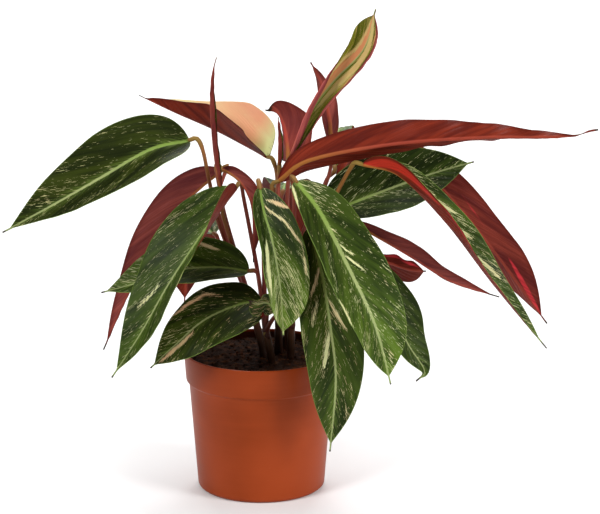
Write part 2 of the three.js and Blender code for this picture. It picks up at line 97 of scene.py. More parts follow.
# Where each shoot leaves the soil, and where its stalks part
SHOOTS = {
    "left": {"foot": (3, -4), "fork": (-7, -1, 165)},
    "front": {"foot": (10, -19), "fork": (5, -18, 150)},
    "middle": {"foot": (16, 5), "fork": (16, 4, 175)},
    "right": {"foot": (27, -9), "fork": (28, -9, 160)},
    "back": {"foot": (22, 19), "fork": (26, 18, 165)},
}
STEM_RADIUS = 4.2
STEM_TOP_RADIUS = 3.2
STEM_FLARE = 0.8
STEM_SUNK = 19.6
STEM_COLLAR = 2
STEM_RINGS = (0.12, 38)
STEM_SIDES = 24
STEM_STEPS = 44
STEM_RIPENESS = 0.1
STALK_ROOT = 0.75
STALK_RADIUS = 2.4
STALK_TOP_RADIUS = 1.7
JOINT_RADIUS = 2.1
JOINT_START = 0.9
JOINT_FADE = 0.02
JOINT_LENGTH = 7
STALK_SHEATH = 0.9
STALK_SIDES = 14
STALK_STEP = 3
STALK_LEAST_STEPS = 24
STALK_DEPTH_IN_BLADE = 1.5
STALK_SEED_STEP = 3.7
GRAIN_LINES = 1.6
GRAIN_LENGTH = 26

# Blade outline, crease, roll and wave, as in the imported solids
BODY_SHARE = 0.965
BASE_HALF = 1.4
TIP_HALF = 0.7
BASE_POWER = 2.2
BASE_ROUND = 0.54
TIP_DRAW = 1.05
CREASE_SHARE = 0.2
TIGHTEST_FOLD = 0.8
TIGHTEST_CURL = 0.9
SOLID_THICKNESS = 0.8
WAVE_SHIFT = 1.9
RUFFLE = 0.7

# Relief of the finer blades, and their grid: rows along, and shares of the half width across
FRILL = 0.9
RIB_GROOVE = 0.4
MARGIN_THINNING = 0.35
ROW_LENGTH = 1.5
ROW_CROWDING = 0.25
BLADE_SEED_STEP = 11.3
SPREADS = (
    0, 0.02, 0.045, 0.075, 0.11, 0.15, 0.2, 0.26, 0.32, 0.385,
    0.45, 0.515, 0.58, 0.645, 0.71, 0.775, 0.84, 0.905, 0.965, 1,
)

# Point attributes that the leaf materials read
BLADE_LAYERS = {
    "leaf_place": "float_vector",
    "leaf_part": "float_vector",
    "leaf_look": "float_vector",
    "leaf_dry": "float",
    "leaf_rib": "float",
    "leaf_tint": "float",
}

# What a full tint makes of each ground
PLAIN = (1, 1, 1)
OLIVE_TINT = (2, 1.15, 0.2)
STRAW_TINT = (1, 0.76, 0.45)
BURGUNDY_TINT = (1.05, 2.5, 5.4)

# Floor, world and camera, and for each lamp its place, its aim, its width and its power
FLOOR_REACH = 6
FLOOR_MOTTLE = 0.985
WORLD_LIGHT = 0.25
CAMERA_PLACE = (0.0355, -2.4442, 0.8422)
CAMERA_PITCH = 14.4
LAMPS = {
    "left_soft_box": ((-1.6, -1.6, 1.9), (0, 0, 0.2), 1.1, 47),
    "right_soft_box": ((1.9, -1.2, 1.3), (0, 0, 0.2), 1.0, 42),
    "overhead_soft_box": ((0.1, 0.3, 2.2), (0, 0, 0.1), 1.2, 15),
    "far_floor_light": ((0, 2.9, 2.6), (0, 2.4, 0), 2.5, 110),
}

# The slot of each kind of leaf, and what a leaf has where its own row says nothing
SLOTS = {"open": "leaf_green", "turned": "leaf_burgundy", "young": "leaf_burgundy"}
USUAL = dict(
    lean=0, curl=(0, 0), wave=(0.9, 0.9), waves=2.5, late=1, slope=(2.2, 0.015),
    rib_look=1, tint=0, cream=0.2, blush=0.08, ripe=0.15, dry=0, marks=(),
)

# The form of each leaf: its shoot, the way of its stalk, its midrib from base to tip, the half width,
# where it is widest, how blunt it is, and how far it leans, which makes the right half wider. Face is
# the way the upper face looks from base to tip. Fold and curl are the degrees by which the left and
# the right half fold and roll. Wave and waves are the height and number of its waves, and late moves
# them towards the tip. Slope is how the side veins run.
# Its look: tone is brightness, which is partly the leaf's own and partly painted shade on leaves that
# stand in shadow and painted light on those that stand lit; tint turns green to olive and wine red to
# burgundy, cream is how much is pale and blush how pink that is, green_base the share at the base that
# stays green, rib_look the width of the midrib, ripe how olive the stalk is, and dry the length of
# brown tip. Marks are its
# own bands and patches: the half, the way as shares along and across, how wide it is and how pink,
# where 1.3 stands for a red flush of the underside and 1.75 for a pink one. A key with tip in its name
# holds the value at the tip, where that differs from the base.
LEAF_ROWS = {
    "leaf_far_left": dict(
        kind="open", shoot="left",
        stalk=[(-36, 6, 240), (-46, 6, 284), (-51, 3, 311)],
        rib=[(-63, 0, 322), (-98, -12, 316), (-141, -28, 294), (-180, -42, 274), (-226, -55, 251)],
        half=36, widest=0.34, blunt=2.0,
        face=[(-0.1, -0.7, 0.7), (-0.2, -0.75, 0.65)], fold=(30, 30),
        rib_look=1.5, tone=0.5, tint=0.22, cream=0.04, tip_cream=0.14, ripe=0.7, dry=5,
    ),
    "leaf_left": dict(
        kind="open", shoot="front",
        stalk=[(-2, -12, 200), (-9, -10, 240), (-15, -14, 274)],
        rib=[(-21, -22, 284), (-46, -46, 255), (-79, -62, 208), (-105, -70, 163), (-131, -72, 123)],
        half=39, widest=0.25, blunt=2.2,
        face=[(-0.6, -0.7, 0.4), (-0.6, -0.8, 0.0)], fold=(68, 8), fold_tip=(25, 12),
        tone=1.0, cream=0.1, dry=3,
        marks=[
            (1, [(0.68, 0.58), (0.6, 0.33), (0.53, 0.21)], 0.8, 0.05),
            (-1, [(0.52, 1), (0.42, 0.92)], 1.6, 0.3),
        ],
    ),
    "leaf_left_behind": dict(
        kind="turned", shoot="left",
        stalk=[(-36, 10, 245), (-38, 14, 270)],
        rib=[
            (-35, 20, 290), (-54, 29, 273), (-78, 38, 248),
            (-100, 42, 213), (-124, 42, 166), (-146, 40, 116),
        ],
        half=21, widest=0.28, blunt=1.8, lean=-0.12,
        face=[(-0.2, 0.6, 0.7), (-0.7, 0.7, 0.1)], fold=(45, 45),
        tone=1.65, tint=0.64, dry=10,
    ),
    "leaf_left_inner": dict(
        kind="open", shoot="front",
        stalk=[(0, -22, 190)],
        rib=[(-10, -25, 208), (-41, -22, 211), (-81, -14, 205), (-113, -8, 192), (-144, -2, 182)],
        half=27, widest=0.4, blunt=2.0, lean=0.08,
        face=[(0, -0.6, 0.8), (-0.2, -0.7, 0.7)], fold=(25, 25),
        tone=1.3, cream=0.06, tip_cream=0.2, dry=4,
        marks=[
            (1, [(0.34, 0.79), (0.27, 0.71), (0.2, 0.62)], 1.5, 0.5),
        ],
    ),
    "leaf_low_left": dict(
        kind="open", shoot="front",
        stalk=[(6, -22, 168)],
        rib=[(2, -30, 181), (-18, -42, 182), (-49, -54, 171), (-75, -62, 150), (-97, -66, 130)],
        half=29, widest=0.38, blunt=2.4, lean=-0.1,
        face=[(0, -0.7, 0.7), (-0.3, -0.75, 0.6)], fold=(12, 12),
        tone=0.62, tint=0.1, cream=0.11, blush=0.3, dry=2,
        marks=[
            (1, [(0.64, 0.98), (0.51, 0.83), (0.38, 0.75), (0.28, 0.5)], 1.4, 0.55),
            (-1, [(0.93, 0.6), (0.81, 0.2), (0.68, 0.14), (0.59, 0.1)], 1.7, 0.45),
        ],
    ),
    "leaf_centre": dict(
        kind="open", shoot="front",
        stalk=[(3, -21, 220), (4, -24, 270)],
        rib=[(0, -38, 287), (4, -50, 268), (11, -62, 246), (18, -74, 208), (21, -80, 163)],
        half=25, widest=0.5, blunt=3.8, lean=-0.1,
        face=[(0, -0.8, 0.5), (0.1, -1, 0.1)], fold=(15, 60),
        tone=0.4, tip_tone_and_lighting=3.6, cream=0.12, tip_cream=0.34, dry=2,
        marks=[
            (1, [(0.36, 0.36), (0.44, 0.52), (0.56, 0.64), (0.72, 0.76)], 3.2, 0.05),
            (-1, [(0.13, 0.1), (0.17, 0.25), (0.28, 0.62), (0.42, 0.88), (0.62, 0.92)], 1.0, 0.4),
            (-1, [(0.09, 0.3), (0.14, 0.75), (0.2, 1)], 1.6, 0.5),
        ],
    ),
    "leaf_front": dict(
        kind="open", shoot="right",
        stalk=[(30, -10, 220), (30, -14, 275)],
        rib=[(32, -22, 289), (53, -45, 267), (77, -70, 225), (101, -88, 176), (115, -96, 124)],
        half=33, widest=0.5, blunt=3.6,
        face=[(0.3, -0.7, 0.6), (0.4, -0.9, 0.2)], fold=(12, 30),
        rib_look=1.9, tone=0.7, tip_tone_and_lighting=2.3, cream=0.1, tip_cream=0.2, dry=2, slope=(1.8, 0.0),
        marks=[
            (-1, [(0.41, 0.06), (0.52, 0.42)], 0.8, 0),
            (-1, [(0.35, 0.04), (0.42, 0.29)], 0.7, 0),
            (1, [(0.58, 0.97), (0.71, 0.96)], 1.3, 0.1),
            (1, [(0.02, 1), (0.16, 1)], 1.6, 0),
        ],
    ),
    "leaf_low_front": dict(
        kind="open", shoot="right",
        stalk=[(32, -16, 215)],
        rib=[(44, -38, 251), (55, -54, 212), (62, -72, 171), (67, -84, 124), (62, -86, 59)],
        half=27, widest=0.5, blunt=2.4,
        face=[(0.1, -0.7, 0.6), (0, -1, 0)], fold=(12, 12),
        rib_look=1.3, tone=1.05, tip_tone_and_lighting=0.65, cream=0.12, blush=0.3, dry=2,
        marks=[
            (1, [(0.31, 0.58), (0.24, 0.29), (0.18, 0.05)], 1.3, 0.25),
            (1, [(0.44, 0.6), (0.36, 0.42), (0.3, 0.3)], 1.1, 0.25),
            (1, [(0.62, 0.4), (0.55, 0.25), (0.46, 0.05)], 1.5, 0),
            (-1, [(0.47, 0.5), (0.4, 0.28), (0.33, 0.06)], 1.1, 0.3),
        ],
    ),
    "leaf_low_right": dict(
        kind="open", shoot="right",
        stalk=[(58, -14, 205)],
        rib=[(84, -20, 218), (112, -28, 185), (132, -32, 143), (147, -32, 118), (140, -34, 108)],
        half=22, widest=0.45, blunt=2.2, lean=-0.12,
        face=[(0.4, -0.5, 0.7), (0.6, -0.8, 0)], fold=(15, 15),
        tone=1.0, cream=0.11, dry=5,
    ),
    "leaf_right": dict(
        kind="open", shoot="back",
        stalk=[(38, 20, 205)],
        rib=[(57, 18, 249), (88, 24, 261), (121, 28, 273), (157, 32, 285), (193, 34, 295)],
        half=33, widest=0.45, blunt=2.0, lean=-0.1,
        face=[(0, -0.9, 0.4), (0, -0.9, 0.4)], fold=(10, 55), fold_tip=(10, 10),
        rib_look=1.2, tone=0.5, cream=0.13, dry=2,
    ),
    "leaf_right_drooping": dict(
        kind="open", shoot="right",
        stalk=[(48, -2, 230), (70, -4, 278), (82, -12, 302)],
        rib=[(91, -18, 304), (124, -32, 297), (164, -46, 259), (206, -56, 205), (254, -62, 147)],
        half=21, widest=0.45, blunt=1.9, lean=0.12,
        face=[
            (0.5, 0.3, 0.8), (0.55, -0.2, 0.8), (0.61, -0.24, 0.7),
            (0.66, -0.28, 0.62), (0.72, -0.32, 0.55),
        ],
        fold=(50, 55), fold_tip=(50, 22),
        tone=1.05, ripe=0.9, dry=9,
        marks=[
            (1, [(0, 0.5), (0.14, 0.6), (0.34, 0.85)], 5, 1.3),
            (1, [(0.3, 1), (0.55, 1), (0.78, 1)], 2.4, 1.75),
            (-1, [(0.16, 0.1), (0.3, 0.54)], 1.7, 0.05),
            (-1, [(0.26, 0.2), (0.4, 0.68)], 1.5, 0.05),
            (-1, [(0.43, 0.25), (0.51, 0.54)], 1.2, 0.05),
            (-1, [(0.57, 0.25), (0.69, 0.67)], 1.4, 0.05),
        ],
    ),
    "leaf_right_behind": dict(
        kind="turned", shoot="back",
        stalk=[(50, 34, 240), (84, 48, 296)],
        rib=[(100, 52, 306), (138, 52, 292), (174, 42, 258), (216, 22, 209), (259, -6, 154)],
        half=23, widest=0.62, blunt=2.8,
        face=[(0.3, 0.95, 0.1), (0.6, 0.8, 0.2)], fold=(30, 20),
        tone=1.25, tint=0.32, dry=3,
        marks=[
            (1, [(0.7, 0.35), (0.84, 0.25), (0.97, 0.2)], 2.2, 1.75),
            (1, [(0.4, 0.45), (0.56, 0.32)], 0.8, 1.75),
        ],
    ),
    "leaf_right_long": dict(
        kind="turned", shoot="right",
        stalk=[(24, -8, 225), (16, -10, 262)],
        rib=[
            (16, -8, 286), (44, -14, 307), (115, -22, 323),
            (194, -26, 330), (265, -28, 331), (298, -30, 338),
        ],
        half=24, widest=0.42, blunt=1.3,
        face=[(0, 0.98, 0.17), (0, 0.95, 0.3)], fold=(35, 58), fold_tip=(75, 60),
        wave=(1.5, 5), waves=7, late=2,
        tone=1.05, ripe=0.6, dry=3,
    ),
    "leaf_right_inner": dict(
        kind="turned", shoot="right",
        stalk=[(52, 2, 222)],
        rib=[(82, -3, 248), (113, -4, 230), (135, -6, 217), (172, -8, 194), (215, -10, 180)],
        half=13, widest=0.45, blunt=1.7,
        face=[(0.3, 0.6, 0.7), (0.4, 0.7, 0.6)], fold=(30, 30),
        tone=1.15, tint=0.65, dry=14,
        marks=[
            (-1, [(0.15, 0.95), (0.45, 0.95)], 1.6, 1.75),
        ],
    ),
    "leaf_right_small": dict(
        kind="turned", shoot="right",
        stalk=[(62, 10, 190)],
        rib=[(101, 21, 210), (119, 21, 203), (135, 19, 198), (150, 17, 197)],
        half=17, widest=0.6, blunt=2.8, lean=-0.4,
        face=[(0.2, 0.7, 0.6), (0.3, 0.7, 0.6)], fold=(5, 25),
        tone=0.9, tint=0.05, dry=3,
        marks=[
            (1, [(0.1, 0.85), (0.5, 0.97), (0.9, 0.9)], 2.0, 1.75),
        ],
    ),
    "leaf_upper_left": dict(
        kind="turned", shoot="middle",
        stalk=[(14, 12, 230), (15, 18, 280)],
        rib=[(7, 20, 302), (-7, 38, 306), (-42, 58, 320), (-79, 68, 334), (-112, 72, 349)],
        half=37, widest=0.36, blunt=1.3,
        face=[(-0.05, -0.3, 0.95), (0, 0.25, 1)], fold=(62, 50),
        tone=0.95, cream=1.0, blush=0.85, green_base=0.26, ripe=0.8, dry=4,
    ),
    "leaf_unrolling": dict(
        kind="young", shoot="middle",
        stalk=[(22, 6, 240), (25, 12, 290)],
        rib=[(27, 13, 304), (42, 9, 340), (64, 5, 373), (92, 0, 405), (102, -6, 441)],
        half=18, widest=0.76, blunt=4.4, lean=0.1,
        face=[(0.7, -0.6, -0.2), (-0.5, -0.75, 0.3)], fold=(10, 10),
        curl=(200, 190), curl_tip=(30, 70),
        tone=3.4, tip_tone_and_lighting=1.7, tint=0.7, cream=0.28, blush=0.5, slope=(9, 0),
        marks=[
            (-1, [(0.3, 0.1), (0.6, 0.22), (0.97, 0.1)], 3.2, 0.95),
            (-1, [(0.35, 0.45), (0.65, 0.5), (0.95, 0.3)], 1.7, 0.3),
            (1, [(0.3, 0.15), (0.62, 0.3), (0.97, 0.12)], 2.8, 0.25),
            (1, [(0.45, 0.6), (0.7, 0.6), (0.93, 0.5)], 1.8, 0.7),
        ],
    ),
    "leaf_upright_behind": dict(
        kind="young", shoot="back",
        stalk=[(46, 27, 240), (62, 29, 285)],
        rib=[(63, 24, 315), (62, 25, 337), (55, 26, 367), (45, 26, 388)],
        half=9.5, widest=0.45, blunt=1.8,
        face=[(0.2, 1, 0.1), (0.3, 0.9, 0.4)], fold=(30, 30),
        tone=1.5, tint=0.65, cream=0.3, blush=0.5, dry=2,
    ),
    "leaf_upright_short": dict(
        kind="young", shoot="middle",
        stalk=[(22, 18, 240), (25, 22, 280)],
        rib=[(25, 24, 299), (24, 34, 312), (21, 46, 326), (15, 56, 336), (4, 62, 337)],
        half=25, widest=0.5, blunt=1.8,
        face=[(0, 1, 0.1), (0.3, 0.9, 0.3)], fold=(10, 70),
        tone=1.75, tint=0.42, cream=0.3, blush=0.5, dry=9,
        marks=[
            (1, [(0.25, 0.02), (0.7, 0.02)], 1.5, 1.75),
        ],
    ),
    "leaf_rolled_tall": dict(
        kind="young", shoot="left",
        stalk=[(-31, -5, 245), (-34, -11, 266)],
        rib=[(-35, -14, 281), (-40, -18, 314), (-43, -19, 355), (-42, -18, 382), (-38, -16, 400)],
        half=6.5, widest=0.45, blunt=2.6,
        face=[(1, -0.2, 0), (1, -0.2, 0)], fold=(10, 10), curl=(140, 140),
        tone=1.35, tint=0.5, ripe=0.8,
    ),
    "leaf_rolled_short": dict(
        kind="young", shoot="middle",
        stalk=[(15, 4, 235), (16, 7, 275)],
        rib=[(17, 8, 298), (17, 9, 321), (16, 10, 341)],
        half=5, widest=0.35, blunt=1.8,
        face=[(1, -0.3, 0), (1, -0.3, 0)], fold=(10, 10), curl=(130, 130),
        tone=1.5, tint=0.4,
    ),
    "leaf_hanging_red": dict(
        kind="turned", shoot="left",
        stalk=[(-30, 1, 245), (-36, 0, 275)],
        rib=[(-34, -6, 297), (-22, -15, 292), (-12, -24, 282), (-6, -28, 262), (-6, -28, 217)],
        half=10, widest=0.3, blunt=2.0,
        face=[(0.3, 0.6, 0.8), (0.9, 0.4, 0)], fold=(55, 55),
        tone=1.1, tint=0.6, dry=4,
    ),
    "leaf_crumpled": dict(
        kind="open", shoot="front",
        stalk=[(12, -30, 166)],
        rib=[(15, -46, 178), (6, -52, 186), (-3, -56, 186), (-10, -58, 190)],
        half=13, widest=0.5, blunt=2.6,
        face=[(0, -0.9, -0.2), (-0.3, -0.8, -0.4)], fold=(20, 20), wave=(2, 2), waves=3,
        tone=0.8, cream=0.3, blush=0.6, dry=6,
    ),
    "leaf_back_left": dict(
        kind="open", shoot="left",
        stalk=[(-16, 22, 185), (-36, 46, 212)],
        rib=[(-44, 58, 222), (-56, 88, 222), (-66, 120, 200), (-72, 146, 164), (-76, 160, 128)],
        half=30, widest=0.45, blunt=2.2,
        face=[(-0.1, -0.4, 0.9), (-0.3, 0.9, 0.3)], fold=(15, 15),
        tone=0.95, cream=0.22, dry=3,
    ),
    "leaf_back": dict(
        kind="open", shoot="middle",
        stalk=[(16, 26, 220), (18, 50, 254)],
        rib=[(20, 60, 262), (22, 92, 262), (24, 128, 238), (24, 152, 200), (24, 162, 158)],
        half=25, widest=0.45, blunt=2.4,
        face=[(0, -0.3, 0.9), (0, 0.9, 0.3)], fold=(15, 15),
        tone=0.9, cream=0.22, dry=3,
    ),
    "leaf_back_right": dict(
        kind="open", shoot="back",
        stalk=[(44, 34, 220), (58, 44, 272)],
        rib=[(67, 50, 287), (70, 76, 307), (72, 106, 310), (80, 136, 262), (84, 150, 196)],
        half=14, widest=0.45, blunt=2.4,
        face=[(0, -0.3, 0.9), (0.2, 0.9, 0.4)], fold=(15, 15),
        tone=1.7, cream=0.12, dry=3,
    ),
}
LEAVES = {name: {**USUAL, **row} for name, row in LEAF_ROWS.items()}


# Smooth lines and small sums
def mix(first, second, share):
    return first + (second - first) * share


def smooth_step(value, low, high):
    share = min(max((value - low) / (high - low), 0), 1)
    return share * share * (3 - 2 * share)


class Way:
    """A smooth line through points, walked by the share of its length."""

    STEPS = 200

    def __init__(self, points):
        knots = [Vector(p) for p in points]
        self.knots = [2 * knots[0] - knots[1], *knots, 2 * knots[-1] - knots[-2]]
        self.pieces = len(knots) - 1
        self.run = [0.0]
        last = self.at(0)
        for i in range(1, self.STEPS + 1):
            here = self.at(i / self.STEPS)
            self.run.append(self.run[-1] + (here - last).length)
            last = here
        self.length = self.run[-1]

    def at(self, t):
        t = min(max(t, 0), 1) * self.pieces
        i = min(int(t), self.pieces - 1)
        t -= i
        p0, p1, p2, p3 = self.knots[i : i + 4]
        start = (p2 - p0) / 2
        end = (p3 - p1) / 2
        cubic = 2 * p1 - 2 * p2 + start + end
        square = -3 * p1 + 3 * p2 - 2 * start - end
        return ((cubic * t + square) * t + start) * t + p1

    def parameter(self, share):
        goal = share * self.length
        i = min(max(bisect_left(self.run, goal), 1), self.STEPS)
        low, high = self.run[i - 1], self.run[i]
        return (i - 1 + (goal - low) / (high - low)) / self.STEPS

    def place(self, share):
        return self.at(self.parameter(share))

    def heading(self, share):
        t = self.parameter(share)
        return (self.at(t + 1e-4) - self.at(t - 1e-4)).normalized()


# Settings that a user would change
def colour(name, description, default):
    return FloatVectorProperty(
        name=name, description=description, subtype="COLOR", size=3, min=0, max=1, default=default
    )


def length(name, description, default, low, high):
    return FloatProperty(
        name=name, description=description, default=default, min=low, max=high,
        unit="LENGTH", precision=4,
    )


def factor(name, description, default):
    return FloatProperty(
        name=name, description=description, default=default, min=0, max=1, subtype="FACTOR"
    )


class PotSettings(bpy.types.PropertyGroup):
    """Sizes and finish of the nursery pot."""

    height: length("Height", "From the foot to the rim", POT_BOX[1][2], 0.05, 0.4)
    rim_radius: length("Rim radius", "Outer radius of the rim", POT_BOX[1][0], 0.03, 0.2)
    wall: length("Wall", "Thickness of the moulded wall", 0.0018, 0.001, 0.005)
    plastic: colour("Plastic", "Colour of the moulded plastic", (0.27, 0.036, 0.002))
    roughness: factor("Roughness", "How dull the plastic is", 0.42)


class SoilSettings(bpy.types.PropertyGroup):
    """Level and look of the potting soil."""

    level: length("Level", "Height of the soil at the wall", 0.12, 0.05, 0.3)
    mound: length("Mound", "How much higher the middle is", 0.003, 0, 0.02)
    crumbs: IntProperty(
        name="Crumbs", description="Loose crumbs on top", default=520, min=0, max=900
    )
    crumb_size: length("Crumb size", "Radius of the largest crumbs", 0.0021, 0.0005, 0.005)
    dark: colour("Dark soil", "Colour of the damp soil", (0.017, 0.0055, 0.0013))
    light: colour("Light soil", "Colour of its dry crumbs and fibres", (0.08, 0.027, 0.006))


class StalkSettings(bpy.types.PropertyGroup):
    """Thickness and colours of stems and leaf stalks."""

    thickness: FloatProperty(
        name="Thickness", description="Share of the usual thickness", default=1, min=0.5, max=1.5
    )
    # The colour near the soil is painted shade: low down, where the leaves above shade them, the stalks
    # turn almost black. The same colour also draws the dark lines along the stalks.
    low: colour("Near the soil", "Colour at the foot of a shoot", (0.014, 0.0045, 0.003))
    middle: colour("Stalk", "Colour of a red stalk", (0.3, 0.06, 0.05))
    ripe: colour("Olive stalk", "Colour of an older stalk", (0.26, 0.125, 0.026))
    joint: colour("Joint", "Colour of the joint under a blade", (0.26, 0.2, 0.045))


class LeafSettings(bpy.types.PropertyGroup):
    """Thickness, relief and colours of the blades."""

    thickness: length("Thickness", "Thickness of a blade", 0.0005, 0.0002, 0.001)
    rib: length("Midrib", "How far the midrib stands out below", 0.0009, 0, 0.003)
    vein_pitch: length("Vein pitch", "Distance between large side veins", 0.013, 0.004, 0.03)
    relief: length("Relief", "Height of the folds between side veins", 0.00022, 0, 0.001)
    dark: colour("Dark green", "Darkest green of the upper face", (0.013, 0.024, 0.003))
    green: colour("Green", "Lighter green of the upper face", (0.045, 0.075, 0.008))
    cream: colour("Cream", "Pale dashes and patches", (0.62, 0.64, 0.32))
    blush: colour("Blush", "Pale patches that turned pink", (0.67, 0.31, 0.18))
    midrib: colour("Midrib green", "Upper side of the midrib", (0.22, 0.33, 0.06))
    wine: colour("Wine", "Underside of a blade", (0.08, 0.008, 0.0042))
    wine_light: colour("Light wine", "Lighter parts of the underside", (0.19, 0.022, 0.0085))
    rose: colour("Rose", "Underside of the midrib", (0.42, 0.075, 0.045))
    flush: colour("Pink flush", "Bright pink flush of some undersides", (0.58, 0.035, 0.045))
    red: colour("Red flush", "Red flush at the foot of the drooping leaf", (0.46, 0.03, 0.016))
    olive: colour("Olive rib", "Underside of the midrib near the base", (0.4, 0.16, 0.035))
    dry: colour("Dry tip", "Dried tips", (0.03, 0.018, 0.01))


class StageSettings(bpy.types.PropertyGroup):
    """Floor, light and lens."""

    floor: colour("Floor", "Colour of the pale floor", (0.86, 0.86, 0.86))
    light: FloatProperty(
        name="Light", description="Share of the usual light", default=1, min=0, max=4
    )
    lens: FloatProperty(
        name="Lens", description="Focal length", default=168, min=20, max=400, unit="CAMERA"
    )


# Nodes of materials
class Web:
    """The nodes of one material or group, added and joined by short calls."""

    def __init__(self, tree):
        self.tree = tree
        self.count = 0

    def node(self, kind, **settings):
        made = self.tree.nodes.new(kind)
        made.location = (self.count % 8 * 190 - 1500, 500 - self.count // 8 * 240)
        self.count += 1
        for key, value in settings.items():
            setattr(made, key, value)
        return made

    def feed(self, socket, value):
        if isinstance(value, bpy.types.NodeSocket):
            self.tree.links.new(value, socket)
        elif socket.type == "RGBA":
            socket.default_value = (*value[:3], 1)
        else:
            socket.default_value = value

    def socket(self, kind, values, out=0, **settings):
        """One output of a new node, whose inputs are fed by place or by name."""
        made = self.node(kind, **settings)
        for key, value in values.items():
            self.feed(made.inputs[key], value)
        return made.outputs[out]

    def math(self, operation, first, second=0.0):
        return self.socket("ShaderNodeMath", {0: first, 1: second}, operation=operation)

    def scaled(self, value, by, plus=0.0):
        return self.socket("ShaderNodeMath", {0: value, 1: by, 2: plus}, operation="MULTIPLY_ADD")

    def mix(self, share, first, second, blend="MIX"):
        values = {0: share, 6: first, 7: second}
        return self.socket("ShaderNodeMix", values, 2, data_type="RGBA", blend_type=blend)

    def over(self, ground, colour, mask, strength):
        """A colour laid over the ground where the mask says, no stronger than the strength."""
        return self.mix(self.scaled(mask, strength), ground, colour)

    def tinted(self, ground, tint):
        return self.mix(1.0, ground, tint, "MULTIPLY")

    def step(self, value, low, high):
        values = {"Value": value, "From Min": low, "From Max": high}
        return self.socket("ShaderNodeMapRange", values, interpolation_type="SMOOTHSTEP")

    def vector(self, x, y, z):
        return self.socket("ShaderNodeCombineXYZ", {0: x, 1: y, 2: z})

    def split(self, vector):
        made = self.node("ShaderNodeSeparateXYZ")
        self.feed(made.inputs[0], vector)
        return made.outputs[:3]

    def noise(self, place, scale=1.0, detail=2.0, roughness=0.5):
        values = {"Vector": place, "Scale": scale, "Detail": detail, "Roughness": roughness}
        return self.socket("ShaderNodeTexNoise", values)

    def attribute(self, name, output="Vector"):
        return self.node("ShaderNodeAttribute", attribute_name=name).outputs[output]

    def group(self, tree, **inputs):
        made = self.node("ShaderNodeGroup", node_tree=tree)
        for name, value in inputs.items():
            self.feed(made.inputs[name], value)
        return made.outputs

    def bump(self, height, strength, distance):
        values = {"Height": height, "Strength": strength, "Distance": distance}
        return self.socket("ShaderNodeBump", values)

    def surface(self, colour, roughness, gloss, normal=None):
        """The shader of a material, joined to its output."""
        values = {"Base Color": colour, "Roughness": roughness, "Specular IOR Level": gloss}
        if normal is not None:
            values["Normal"] = normal
        shader = self.socket("ShaderNodeBsdfPrincipled", values)
        self.feed(self.node("ShaderNodeOutputMaterial").inputs["Surface"], shader)


def new_group(name, inputs, outputs):
    tree = bpy.data.node_groups.new(name, "ShaderNodeTree")
    for label, kind in inputs.items():
        tree.interface.new_socket(name=label, in_out="INPUT", socket_type=kind)
    for label in outputs:
        tree.interface.new_socket(name=label, in_out="OUTPUT", socket_type="NodeSocketFloat")
    web = Web(tree)
    return web, web.node("NodeGroupInput").outputs, web.node("NodeGroupOutput").inputs


def vein_field():
    """Streaks, fine veins, broad bands and specks that follow the side veins of a blade."""
    name = "Vein field"
    if name in bpy.data.node_groups:
        return bpy.data.node_groups[name]
    web, given, put = new_group(
        name,
        {"Place": "NodeSocketVector", "Seed": "NodeSocketFloat"},
        ("Streaks", "Dashes", "Fine veins", "Bands", "Specks", "Height"),
    )
    _, across, vein = web.split(given["Place"])
    away = web.math("ABSOLUTE", across)
    # Each half of each blade draws its noise from a place of its own.
    kind = web.scaled(web.math("SIGN", across), 17.3, given["Seed"])

    def grained(fine, long, detail=2.0, roughness=0.5):
        """Noise with grains of one size across the veins and another along them."""
        place = web.vector(web.scaled(vein, fine), web.scaled(away, long), kind)
        return web.noise(place, 1, detail, roughness)

    streaks = grained(0.85, 0.13)
    fine = grained(0.5, 0.03)
    crowd = web.math("SUBTRACT", grained(0.05, 0.06, 1), 0.5)
    web.feed(put["Streaks"], web.scaled(crowd, 0.25, streaks))
    web.feed(put["Fine veins"], fine)
    web.feed(put["Bands"], grained(0.06, 0.04, 2.5))
    web.feed(put["Dashes"], web.scaled(crowd, 0.3, grained(1, 0.32, 1.5, 0.6)))
    cells = web.node("ShaderNodeTexVoronoi")
    spot = web.vector(web.scaled(vein, 0.36), web.scaled(away, 0.42), kind)
    web.feed(cells.inputs["Vector"], spot)
    cells.inputs["Scale"].default_value = 1
    pick = web.split(cells.outputs["Color"])
    size = web.scaled(web.math("POWER", pick[0], 3), 0.24)
    inside = web.step(cells.outputs["Distance"], size, web.scaled(size, 0.6))
    web.feed(put["Specks"], web.math("MULTIPLY", inside, pick[1]))
    web.feed(put["Height"], web.scaled(fine, 0.7, web.scaled(streaks, 0.3)))
    return web.tree


def grain_field():
    """A fine even grain, a broad mottle and a height for both."""
    name = "Grain field"
    if name in bpy.data.node_groups:
        return bpy.data.node_groups[name]
    web, given, put = new_group(
        name,
        {"Place": "NodeSocketVector", "Fine": "NodeSocketFloat", "Broad": "NodeSocketFloat"},
        ("Grain", "Mottle", "Height"),
    )
    grain = web.noise(given["Place"], given["Fine"], 3, 0.6)
    mottle = web.noise(given["Place"], given["Broad"], 3, 0.5)
    web.feed(put["Grain"], grain)
    web.feed(put["Mottle"], mottle)
    web.feed(put["Height"], web.scaled(mottle, 0.3, web.scaled(grain, 0.7)))
    return web.tree


def new_material(name):
    """The empty web of a new material, which pieces then take by its name."""
    material = bpy.data.materials.new(name)
    material.use_nodes = True
    material.node_tree.nodes.clear()
    return Web(material.node_tree)


def object_place(web):
    return web.node("ShaderNodeTexCoord").outputs["Object"]


def leaf_parts(web):
    """What the attributes of a blade say at a point, and the blade's vein field there."""
    place = web.attribute("leaf_place")
    share, edge, seed = web.split(web.attribute("leaf_part"))
    cream, blush, tone = web.split(web.attribute("leaf_look"))
    return SimpleNamespace(
        away=web.math("ABSOLUTE", web.split(place)[1]), share=share, edge=edge,
        cream=cream, blush=blush, tone=web.vector(tone, tone, tone),
        tint=web.attribute("leaf_tint", "Fac"), dry=web.attribute("leaf_dry", "Fac"),
        field=web.group(vein_field(), Place=place, Seed=seed),
    )


